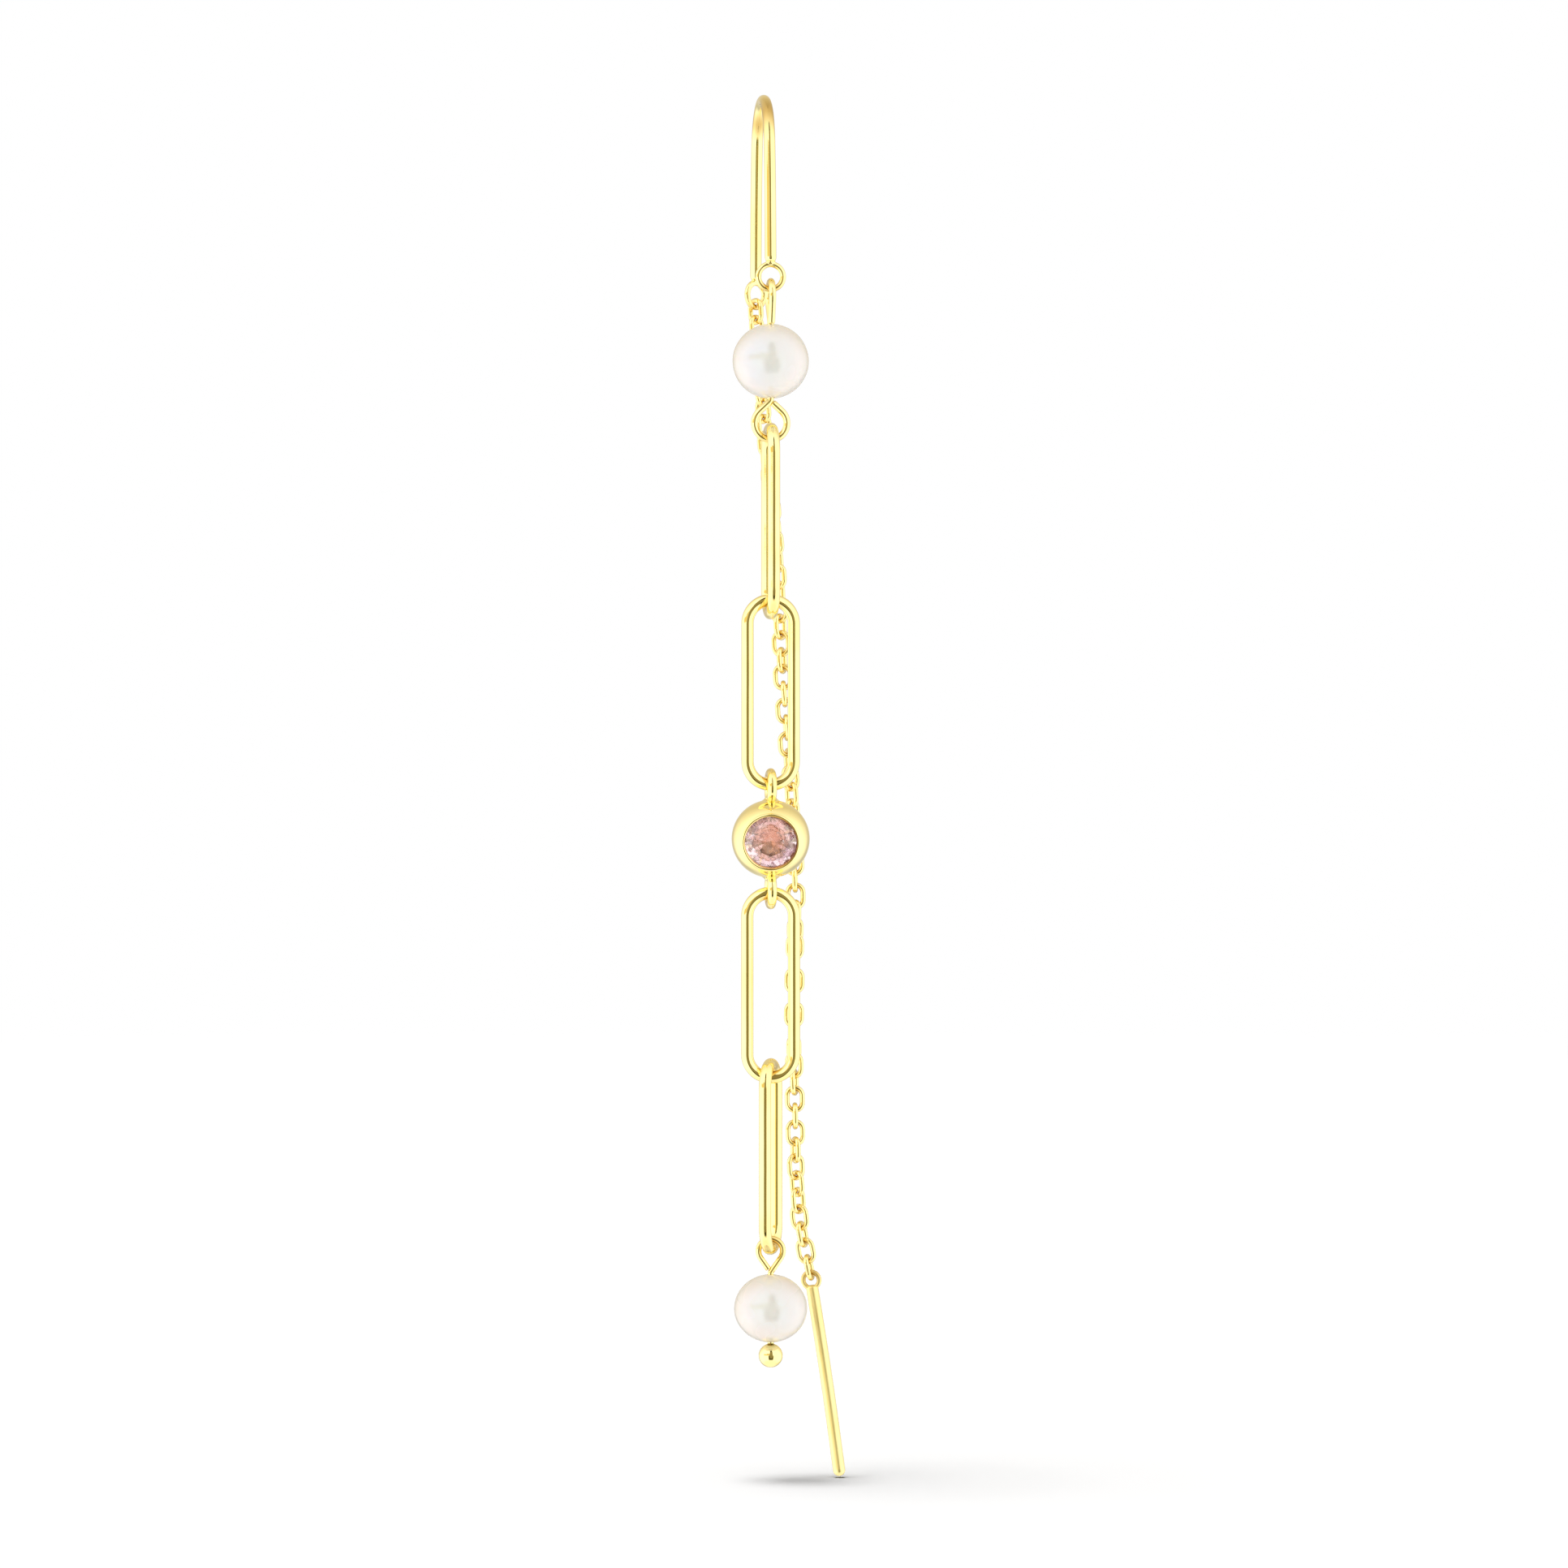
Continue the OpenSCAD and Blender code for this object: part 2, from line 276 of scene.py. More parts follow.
@dataclass
class Surface:
    """Closed shells: points in millimetres, and the quads and triangles that index them."""

    points: Array
    quads: Array
    triangles: Array = field(default_factory=lambda: np.empty((0, 3), int))

    @staticmethod
    def joined(parts: list["Surface"]) -> "Surface":
        """Puts several shells into one.

        Args:
            parts: The shells.

        Returns:
            All of them, each one's indices raised by the number of points before it.
        """
        starts = np.cumsum([0] + [len(part.points) for part in parts])
        points = [part.points for part in parts]
        quads = [part.quads + start for part, start in zip(parts, starts)]
        triangles = [part.triangles + start for part, start in zip(parts, starts)]
        return Surface(*(np.concatenate(pieces) for pieces in (points, quads, triangles)))

    def moved(self, offset: Point | Array, turned: Array | None = None) -> "Surface":
        """Turns the shell by a matrix, where one is given, and then moves it."""
        points = self.points if turned is None else self.points @ turned.T
        return Surface(points + np.asarray(offset), self.quads, self.triangles)

    def to_object(self, name: str, crease: float) -> bpy.types.Object:
        """Puts the shell into a mesh object that sits at the origin.

        Args:
            name: Name of the object and its mesh.
            crease: Angle in degrees past which an edge is sharp.

        Returns:
            The object, linked to the scene.
        """
        mesh = bpy.data.meshes.new(name)
        faces = self.quads.tolist() + self.triangles.tolist()
        mesh.from_pydata((self.points * MM).tolist(), [], faces, shade_flat=False)
        mesh.set_sharp_from_angle(angle=math.radians(crease))
        made = bpy.data.objects.new(name, mesh)
        bpy.context.scene.collection.objects.link(made)
        return made


def skin(grid: Array, closed: bool = False) -> Surface:
    """Lays faces over a grid of points whose columns run once round.

    Face (i, j) joins points (i, j), (i, j + 1), (i + 1, j + 1) and (i + 1, j). A closed grid joins
    its last row to its first, and an open one gets a fan of triangles from each end row's middle.

    Args:
        grid: Points as rows by columns by 3.
        closed: Whether the rows run round too.

    Returns:
        The closed shell.
    """
    rows, columns = grid.shape[:2]
    index = np.arange(rows * columns).reshape(rows, columns)
    beside = np.roll(index, -1, axis=1)
    if closed:
        corners = [index, beside, np.roll(beside, -1, axis=0), np.roll(index, -1, axis=0)]
        return Surface(grid.reshape(-1, 3), np.stack(corners, axis=-1).reshape(-1, 4))
    corners = [index[:-1], beside[:-1], beside[1:], index[1:]]
    quads = np.stack(corners, axis=-1).reshape(-1, 4)
    middles = grid[[0, -1]].mean(axis=1)
    first = np.full(columns, rows * columns)
    fans = [
        np.stack([first, beside[0], index[0]], axis=1),
        np.stack([first + 1, index[-1], beside[-1]], axis=1),
    ]
    return Surface(np.concatenate([grid.reshape(-1, 3), middles]), quads, np.concatenate(fans))


def carry(line: Line, radius: Array | float, sides: int) -> Surface:
    """Carries a circle along a line.

    Point (i, j) is line(i) + radius(i) (cos a(j) side(i) + sin a(j) across(i)), where a(j) goes
    once round and side(i) is across(i) times the line's direction, the mean of the steps before
    and after.

    Args:
        line: The middle line.
        radius: The wire's radius, one value or one for each point of the line.
        sides: Points round the wire.

    Returns:
        The closed shell.
    """
    if line.closed:
        after = unit(np.roll(line.points, -1, axis=0) - line.points)
        direction = unit(after + np.roll(after, 1, axis=0))
    else:
        steps = unit(np.diff(line.points, axis=0))
        direction = unit(np.concatenate([steps[:1], steps]) + np.concatenate([steps, steps[-1:]]))
    across = unit(line.across)
    side = np.cross(across, direction)
    cos, sin = (wave(once_round(sides))[None, :, None] for wave in (np.cos, np.sin))
    reach = np.broadcast_to(radius, len(line.points))[:, None, None]
    spokes = cos * side[:, None] + sin * across[:, None]
    return skin(line.points[:, None] + reach * spokes, line.closed)


def wire(
    line: Line, radius: float, ends: tuple[WireEnd, WireEnd], step: float, sides: int = 24
) -> Surface:
    """Makes a wire along an open line, with each end rounded off.

    A rounded share e of the radius R is a quarter circle: at the distance e R (1 - cos a) from the
    end the wire's radius is R (1 - e (1 - sin a)), with a from nearly 0 to a right angle.

    Args:
        line: The middle line, with closely spaced points.
        radius: The wire's radius.
        ends: How its first and last end are worked.
        step: Distance between the rows of points.
        sides: Points round the wire.

    Returns:
        The closed shell.
    """
    length = line.length()
    reaches = [radius * end.value for end in ends]
    begin, finish = (reach * (1 - np.cos(END_ANGLES)) for reach in reaches)
    count = max(3, round(length / step))
    middle = np.linspace(reaches[0], length - reaches[1], count)[1:-1]
    stations = np.concatenate([begin, middle, (length - finish)[::-1]])
    thins = [radius * (1 - end.value * (1 - np.sin(END_ANGLES))) for end in ends]
    radii = np.concatenate([thins[0], np.full(len(middle), radius), thins[1][::-1]])
    return carry(line.spaced(stations), radii, sides)


def ring(
    centre: Point, ring_r: float, wire_r: float, turn: float, rows: int = 72, sides: int = 20
) -> Surface:
    """Makes a closed standing ring: a circle carried once round a larger circle."""
    outline = ring_r * np.exp(1j * once_round(rows))
    return carry(stand(outline, turn, centre, closed=True), wire_r, sides)


def oval_link(
    size: Pair, wire_r: float, turn: float, centre: Point, rows: int, sides: int
) -> Surface:
    """Makes a closed standing link: a wire carried round two straights and two half circles.

    Args:
        size: The link's width and length over the wire.
        wire_r: The wire's radius.
        turn: Angle about the vertical, from the front view, in degrees.
        centre: The link's middle.
        rows: Points along the wire.
        sides: Points round the wire.

    Returns:
        The closed shell.
    """
    width, length = size
    bend_r, side = width / 2 - wire_r, length - width
    bending = Bending(complex(bend_r, -side / 2), 1j)
    bending.straight(side).bend(bend_r, 180).straight(side).bend(bend_r, 180)
    line = stand(bending.outline(), turn, centre, closed=True)
    return carry(line.spaced(np.arange(rows) * line.length() / rows), wire_r, sides)


def arc_profile(centre: Pair, radius: float, start: float, stop: float, count: int) -> Array:
    """Gives points on an arc: centre + radius (cos a, sin a), a from start to stop in degrees."""
    angle = np.radians(np.linspace(start, stop, count))[:, None]
    return np.asarray(centre) + radius * np.concatenate([np.cos(angle), np.sin(angle)], axis=1)


def turned_on_lathe(profile: Array, columns: int, closed: bool = False) -> Surface:
    """Turns a profile about +Z: point (i, j) is (r(i) cos a(j), r(i) sin a(j), z(i)).

    Args:
        profile: Radius and height of each point, which run upwards on the outside.
        columns: Points round the axis.
        closed: Whether the profile's last point is followed by its first, as on a drilled bead.

    Returns:
        The closed shell.
    """
    angle = once_round(columns)
    radius, height = profile[:, :1], profile[:, 1:]
    grid = np.stack([radius * np.cos(angle), radius * np.sin(angle), height + 0 * angle], axis=-1)
    return skin(grid, closed)


def bead_of_solder(centre: Point, half: Point, turn: float) -> Surface:
    """Makes a drop of solder: a ball stretched to three half widths and turned about +Z.

    Args:
        centre: The drop's middle.
        half: Its half widths.
        turn: Its angle, in degrees.

    Returns:
        The closed shell.
    """
    profile = arc_profile((0, 0), 1, -SOLDER_LIFT, SOLDER_LIFT, SOLDER_ROWS)
    ball = turned_on_lathe(profile, SOLDER_COLUMNS)
    return ball.moved(centre, turned_about(Axis.Z, turn) * np.asarray(half))


def write_share(made: bpy.types.Object, name: str, share: Array) -> None:
    """Writes a share for each point of an object, under the name by which its finish reads it."""
    written = made.data.attributes.new(name, "FLOAT", "POINT")
    written.data.foreach_set("value", share.astype(np.float32))


# Finishes


class Bench:
    """A node tree on which a finish or a light is laid out."""

    def __init__(self, tree: bpy.types.NodeTree) -> None:
        """Keeps the tree, and clears what it starts with."""
        self.tree = tree
        tree.nodes.clear()

    def add(self, kind: str, inputs: Inputs | None = None, **settings: object) -> bpy.types.Node:
        """Adds a node.

        Args:
            kind: Blender's name for the node's type.
            inputs: Value, colour or incoming socket for each named input.
            settings: The node's own settings.

        Returns:
            The node.
        """
        made = self.tree.nodes.new(kind)
        for name, value in settings.items():
            setattr(made, name, value)
        for name, value in (inputs or {}).items():
            socket = made.inputs[name]
            if isinstance(value, Socket):
                self.tree.links.new(value, socket)
            else:
                socket.default_value = (*value, 1.0) if socket.type == "RGBA" else value
        return made

    def place(self) -> Socket:
        """Gives the Object coordinates."""
        return self.add("ShaderNodeTexCoord").outputs["Object"]

    def share(self, name: str) -> Socket:
        """Reads what write_share wrote under a name."""
        return self.add("ShaderNodeAttribute", attribute_name=name).outputs["Fac"]

    def calculate(self, operation: str, first: Value, second: Value = 0.0) -> Socket:
        """Joins two values by one of Blender's operations."""
        return self.add("ShaderNodeMath", {0: first, 1: second}, operation=operation).outputs[0]

    def span(
        self, value: Value, low: float, high: float, to_low: float = 0.0, to_high: float = 1.0
    ) -> Socket:
        """Brings a value from one range to another, smoothly, and holds it there.

        Args:
            value: The value.
            low: Where its range starts.
            high: Where its range stops.
            to_low: What it becomes at the start, and before it.
            to_high: What it becomes at the stop, and past it.

        Returns:
            The new value.
        """
        ends = {"From Min": low, "From Max": high, "To Min": to_low, "To Max": to_high}
        kind = "ShaderNodeMapRange"
        made = self.add(kind, {"Value": value} | ends, interpolation_type="SMOOTHSTEP")
        return made.outputs["Result"]

    def blend(self, factor: Value, first: Socket | Colour, second: Socket | Colour) -> Socket:
        """Mixes two colours by a factor."""
        inputs = {0: factor, 6: first, 7: second}
        return self.add("ShaderNodeMix", inputs, data_type="RGBA").outputs[2]

    def ramp(self, factor: Value, stops: Stops) -> Socket:
        """Adds a colour ramp.

        Args:
            factor: The place on the ramp.
            stops: The ramp's places and their colours.

        Returns:
            The colour at the place.
        """
        made = self.add("ShaderNodeValToRGB", {"Fac": factor})
        elements = made.color_ramp.elements
        while len(elements) < len(stops):
            elements.new(0.5)
        for element, (place, colour) in zip(elements, stops):
            element.position = place
            element.color = (*colour, 1.0)
        return made.outputs["Color"]

    def bump(self, relief: float, height: Value) -> Socket:
        """Gives the normal of a surface with a relief of the given depth, in metres."""
        inputs = {"Strength": 1.0, "Distance": relief, "Height": height}
        return self.add("ShaderNodeBump", inputs).outputs["Normal"]


@dataclass(frozen=True)
class Handwork:
    """The unevenness that hand-finished surfaces share, with a finish's own waves a metre.

    It is one node group, which reads Object coordinates. It puts out Ripple (soft dents), Specks
    (fine grain) and Scratches (thin lines, in patches).
    """

    ripple: float
    specks: float
    scratches: float

    NAME: ClassVar[str] = "handwork"
    SCALES: ClassVar[dict[str, float]] = {
        "Ripple Scale": 900.0,
        "Speck Scale": 9000.0,
        "Scratch Scale": 2500.0,
    }
    EFFECTS: ClassVar[tuple[str, ...]] = ("Ripple", "Specks", "Scratches")
    RIPPLE_DETAIL: ClassVar[float] = 1.5
    SPECK_DETAIL: ClassVar[float] = 3.0
    PATCH_DETAIL: ClassVar[float] = 4.0
    SPECK_SPAN: ClassVar[Pair] = (0.35, 0.75)
    PATCH_SPAN: ClassVar[Pair] = (0.52, 0.62)
    SCRATCH_WIDTH: ClassVar[float] = 0.035

    def group(self) -> bpy.types.NodeTree:
        """Builds the node group, or gives it again.

        Returns:
            The group.
        """
        if self.NAME in bpy.data.node_groups:
            return bpy.data.node_groups[self.NAME]
        group = bpy.data.node_groups.new(self.NAME, "ShaderNodeTree")
        bench = Bench(group)
        new_socket, kind = group.interface.new_socket, "NodeSocketFloat"
        for label, scale in self.SCALES.items():
            new_socket(label, in_out="INPUT", socket_type=kind).default_value = scale
        for label in self.EFFECTS:
            new_socket(label, in_out="OUTPUT", socket_type=kind)
        given = bench.add("NodeGroupInput")
        place = bench.place()

        def noise(scale: str, detail: float) -> Socket:
            """Adds a noise of one scale."""
            inputs = {"Vector": place, "Scale": given.outputs[scale], "Detail": detail}
            return bench.add("ShaderNodeTexNoise", inputs).outputs["Fac"]

        ripple = noise("Ripple Scale", self.RIPPLE_DETAIL)
        specks = bench.span(noise("Speck Scale", self.SPECK_DETAIL), *self.SPECK_SPAN)
        cells = bench.add(
            "ShaderNodeTexVoronoi",
            {"Vector": place, "Scale": given.outputs["Scratch Scale"]},
            feature="DISTANCE_TO_EDGE",
        )
        lines = bench.span(cells.outputs["Distance"], 0.0, self.SCRATCH_WIDTH, 1.0, 0.0)
        patches = bench.span(noise("Ripple Scale", self.PATCH_DETAIL), *self.PATCH_SPAN)
        scratches = bench.calculate("MULTIPLY", lines, patches)
        bench.add("NodeGroupOutput", dict(zip(self.EFFECTS, (ripple, specks, scratches))))
        return group

    def lay(self, bench: Bench) -> list[Socket]:
        """Adds the group with the finish's scales, and gives its ripple, specks and scratches."""
        scales = dict(zip(self.SCALES, (self.ripple, self.specks, self.scratches)))
        return list(bench.add("ShaderNodeGroup", scales, node_tree=self.group()).outputs)


@dataclass(frozen=True)
class Finish(ABC):
    """What a surface is finished with."""

    name: str
    slot: Slot | None = None
    handwork: Handwork = Handwork(420.0, 9000.0, 1500.0)
    relief: float = 0.0
    mark_share: float = 0.02

    def material(self) -> bpy.types.Material:
        """Builds the finish's material, or gives it again.

        Returns:
            The material.
        """
        if self.name in bpy.data.materials:
            return bpy.data.materials[self.name]
        made = bpy.data.materials.new(self.name)
        made.use_nodes = True
        bench = Bench(made.node_tree)
        shader = bench.add("ShaderNodeBsdfPrincipled", self.lay_out(bench))
        bench.add("ShaderNodeOutputMaterial", {"Surface": shader.outputs[0]})
        return made

    @abstractmethod
    def lay_out(self, bench: Bench) -> Inputs:
        """Lays the finish out on a bench and gives the shader's inputs by name."""

    def marked(self, bench: Bench, ripple: Socket, marks: Socket) -> Socket:
        """Gives the normal of the rippled surface, with marks a small share as deep."""
        depth = bench.calculate("MULTIPLY", marks, self.mark_share)
        return bench.bump(self.relief, bench.calculate("SUBTRACT", ripple, depth))

    def dress(self, piece: bpy.types.Object) -> None:
        """Gives the piece this finish all over."""
        piece.data.materials.clear()
        piece.data.materials.append(self.material())


@dataclass(frozen=True)
class GoldPlate(Finish):
    """Bright yellow gold plate, polished by hand, with browner painted shade where one piece
    touches the next.
    """

    name: str = "polished_gold_plate"
    slot: Slot = Slot.GOLD
    handwork: Handwork = Handwork(420.0, 14000.0, 3200.0)
    relief: float = 3e-5
    pale: Colour = (1.0, 0.865, 0.41)
    deep: Colour = (0.985, 0.82, 0.35)
    # Painted shade, browner, where pieces touch, and the painted shadow of a narrow gap
    painted_contact_shade: Colour = (0.6, 0.37, 0.09)
    painted_gap_shadow: Colour = (0.17, 0.075, 0.03)
    deepens: Pair = (0.35, 0.7)
    speck_share: float = 0.35
    painted_shade_name: str = "painted_shade_share"
    smooth: float = 0.035
    dull: float = 0.09

    def lay_out(self, bench: Bench) -> Inputs:
        """Lays out the plate: two close golds, polishing marks and the soft unevenness under them.

        The piece's painted shade share says how near a point lies to where the next piece touches,
        from
        0 to 1, and browns the gold there. From 1 to 2 the gold turns to the painted shadow of a
        narrow gap.

        Args:
            bench: The material's node tree.

        Returns:
            The shader's inputs by name.
        """
        ripple, specks, scratches = self.handwork.lay(bench)
        colour = bench.blend(bench.span(ripple, *self.deepens), self.pale, self.deep)
        shade_share = bench.share(self.painted_shade_name)
        # Painted shade: the gold browns towards where pieces touch
        colour = bench.blend(shade_share, colour, self.painted_contact_shade)
        colour = bench.blend(bench.span(shade_share, 1.0, 2.0), colour, self.painted_gap_shadow)
        grain = bench.calculate("MULTIPLY", specks, self.speck_share)
        marks = bench.calculate("MAXIMUM", grain, scratches)
        return {
            "Base Color": colour,
            "Metallic": 1.0,
            "Roughness": bench.span(marks, 0.0, 1.0, self.smooth, self.dull),
            "Normal": self.marked(bench, ripple, marks),
        }


@dataclass(frozen=True)
class PearlLustre(Finish):
    """Cream pearl with a soft lustre, faint dimples and a pink and yellow cast."""

    name: str = "cream_pearl_lustre"
    slot: Slot = Slot.PEARL
    relief: float = 1.4e-5
    lilac: Colour = (0.86, 0.855, 0.83)
    cream: Colour = (0.9, 0.88, 0.81)
    blush: Colour = (0.9, 0.83, 0.75)

    def lay_out(self, bench: Bench) -> Inputs:
        """Lays out the nacre: cream with soft patches of blush and lilac, under a clear coat.

        Args:
            bench: The material's node tree.

        Returns:
            The shader's inputs by name.
        """
        ripple, _, scratches = self.handwork.lay(bench)
        tints = ((0.3, self.lilac), (0.48, self.cream), (0.72, self.blush))
        return {
            "Base Color": bench.ramp(ripple, tints),
            "Roughness": bench.span(ripple, 0.3, 0.7, 0.22, 0.3),
            "Normal": self.marked(bench, ripple, scratches),
            "Subsurface Weight": 0.2,
            "Subsurface Radius": (0.9, 0.6, 0.45),
            "Subsurface Scale": 0.0006,
            "IOR": 1.6,
            "Coat Weight": 1.0,
            "Coat Roughness": 0.2,
            "Coat IOR": 2.1,
            "Sheen Weight": 0.1,
            "Sheen Roughness": 0.4,
            "Sheen Tint": (1.0, 0.86, 0.8),
            "Thin Film Thickness": 330.0,
            "Thin Film IOR": 1.4,
        }


@dataclass(frozen=True)
class StoneGlass(Finish):
    """The clear pink body of the cut stone."""

    name: str = "pink_cut_glass"
    slot: Slot = Slot.STONE
    handwork: Handwork = Handwork(1500.0, 16000.0, 5000.0)
    relief: float = 1.5e-6
    tint: Colour = (1.0, 0.93, 0.95)

    def lay_out(self, bench: Bench) -> Inputs:
        """Lays out the glass: plain transmission, with the finest polishing grain on its facets.

        Args:
            bench: The material's node tree.

        Returns:
            The shader's inputs by name.
        """
        _, specks, scratches = self.handwork.lay(bench)
        return {
            "Base Color": self.tint,
            "Roughness": bench.span(scratches, 0.0, 1.0, 0.015, 0.08),
            "IOR": 1.75,
            "Transmission Weight": 1.0,
            "Normal": bench.bump(self.relief, specks),
        }


@dataclass(frozen=True)
class StoneFoil(Finish):
    """The rosy foil behind the cut stone, whose colours paint the light and shade it gives back,
    and which glows as painted light.
    """

    name: str = "rose_stone_foil"
    slot: Slot = Slot.STONE
    handwork: Handwork = Handwork(2600.0, 12000.0, 5000.0)
    relief: float = 1.5e-6
    salmon: Colour = (0.77, 0.51, 0.42)
    shade: Colour = (0.42, 0.24, 0.17)
    rose: Colour = (0.86, 0.68, 0.69)
    lilac: Colour = (0.9, 0.8, 0.86)
    painted_rim_shade: Colour = (0.2, 0.09, 0.045)
    painted_glint: Colour = (1.0, 0.97, 0.97)
    painted_dark_speck: Colour = (0.46, 0.33, 0.36)
    rim_name: str = "rim_share"
    wander: float = 0.05
    painted_glow: float = 0.17
    cell_scale: float = 3600.0

    def lay_out(self, bench: Bench) -> Inputs:
        """Lays out the foil, whose colours paint the stone's light and shade: a darker salmon
        middle, a dark line, brighter rose and lilac, and brown painted shade at the cup's edge.

        The stone's rim share says how far a point lies from its middle to its rim. Cells with a
        chance of their own turn into painted glints or painted dark specks, more so towards the
        rim, and the foil glows faintly in its own colour as painted light.

        Args:
            bench: The material's node tree.

        Returns:
            The shader's inputs by name.
        """
        rim = bench.share(self.rim_name)
        ripple, specks, _ = self.handwork.lay(bench)
        uneven = bench.calculate("SUBTRACT", ripple, 0.5)
        uneven = bench.calculate("MULTIPLY", uneven, self.wander)
        # Painted shade in a darker salmon middle and a dark line, brighter rose and lilac, painted
        # rim shade
        places = (0.52, 0.54, 0.57, 0.59, 0.82, 0.96)
        tints = (self.salmon, self.shade, self.shade, self.rose, self.lilac, self.painted_rim_shade)
        colour = bench.ramp(bench.calculate("ADD", rim, uneven), tuple(zip(places, tints)))
        inputs = {"Vector": bench.place(), "Scale": self.cell_scale}
        cells = bench.add("ShaderNodeTexVoronoi", inputs).outputs
        chance = bench.add("ShaderNodeSeparateColor", {0: cells["Color"]}).outputs[0]
        # Painted glints and painted dark specks, more towards the rim
        outer = bench.span(rim, 0.52, 0.66, 0.2, 0.85)
        pale = bench.calculate("MULTIPLY", bench.span(chance, 0.66, 0.76), outer)
        dark = bench.calculate("MULTIPLY", bench.span(chance, 0.24, 0.16), outer)
        colour = bench.blend(dark, bench.blend(pale, colour, self.painted_glint), self.painted_dark_speck)
        # Painted glow: the foil gives off light of its own colour
        return {
            "Base Color": colour,
            "Metallic": 1.0,
            "Roughness": bench.span(specks, 0.0, 1.0, 0.03, 0.1),
            "Normal": bench.bump(self.relief, cells["Distance"]),
            "Emission Color": colour,
            "Emission Strength": self.painted_glow,
        }


@dataclass(frozen=True)
class FloorPaper(Finish):
    """The pale paper of the floor, which fades out towards its edge."""

    name: str = "pale_floor_paper"
    handwork: Handwork = Handwork(12.0, 900.0, 60.0)
    dark: Colour = (0.185, 0.185, 0.185)
    pale: Colour = (0.19, 0.19, 0.189)
    rough: float = 0.9
    fades: Pair = (350.0, 665.0)

    def lay_out(self, bench: Bench) -> Inputs:
        """Lays out the paper: two close greys without a shine, clear past the fading.

        Args:
            bench: The material's node tree.

        Returns:
            The shader's inputs by name.
        """
        colour = bench.blend(self.handwork.lay(bench)[0], self.dark, self.pale)
        away = bench.add("ShaderNodeVectorMath", {0: bench.place()}, operation="LENGTH")
        near, far = (distance * MM for distance in self.fades)
        return {
            "Base Color": colour,
            "Roughness": self.rough,
            "Specular IOR Level": 0.0,
            "Alpha": bench.span(away.outputs["Value"], near, far, 1.0, 0.0),
        }


GOLD = GoldPlate()
SATIN_GOLD = GoldPlate("satin_gold_plate", smooth=0.36, dull=0.42)
PEARL = PearlLustre()
GLASS = StoneGlass()
FOIL = StoneFoil()


# Pieces

# Where the rings under the ear wire's front and rear leg hang, from front to back
FRONT_Y, REAR_Y = -3.29702, 3.33199
# Heights at which the front strand's pieces touch, from the ear wire's ring down
TOUCHES = (-10.01, -18.01, -27.26, -36.48, -43.02, -52.24, -61.49)
# The strand's touching places, then those of the rear ring and of the bar's eye, round which shade
# is painted on the gold
TOUCH_POINTS = np.array([(0, FRONT_Y, z) for z in TOUCHES] + [(0, REAR_Y, -10.51), (2.62, -0.08, -63.45)])


@dataclass
class Piece(ABC):
    """A finished piece of the earring, which stands for one node of the frame."""

    node: str
    body: Body = Body.DROP
    finish: Finish = GOLD
    crease: float = 38.0
    shade_reach: float = 0.75

    @abstractmethod
    def surface(self) -> Surface:
        """Works out the piece's shape, in millimetres."""

    def touch_points(self) -> Array:
        """Gives the points where pieces touch, round which shade is painted, in millimetres."""
        return TOUCH_POINTS

    def painted_shade_share(self, points: Array) -> Array:
        """Says how much shade is painted on gold: 1 where pieces touch, falling evenly to 0 at its
        reach.
        """
        away = np.linalg.norm(points[:, None] - self.touch_points(), axis=2).min(axis=1)
        return np.clip(1 - away / self.shade_reach, 0, 1)

    def dress(self, made: bpy.types.Object) -> None:
        """Gives the piece its finish, and writes the painted shade share on gold.

        Args:
            made: The piece's object.
        """
        self.finish.dress(made)
        if isinstance(self.finish, GoldPlate):
            places = np.empty(3 * len(made.data.vertices))
            made.data.vertices.foreach_get("co", places)
            write_share(made, self.finish.painted_shade_name, self.painted_shade_share(places.reshape(-1, 3) / MM))

    def build(self) -> bpy.types.Object:
        """Makes the piece, dresses it and lets it ride on its body in its node's stead.

        Returns:
            The piece's object.
        """
        made = self.surface().to_object(f"finished_{self.node}", self.crease)
        self.dress(made)
        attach(made, self.body.value)
        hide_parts(self.node)
        faces = len(made.data.polygons)
        log.info("%s: %d faces, rides on %s", made.name, faces, self.body.value)
        return made


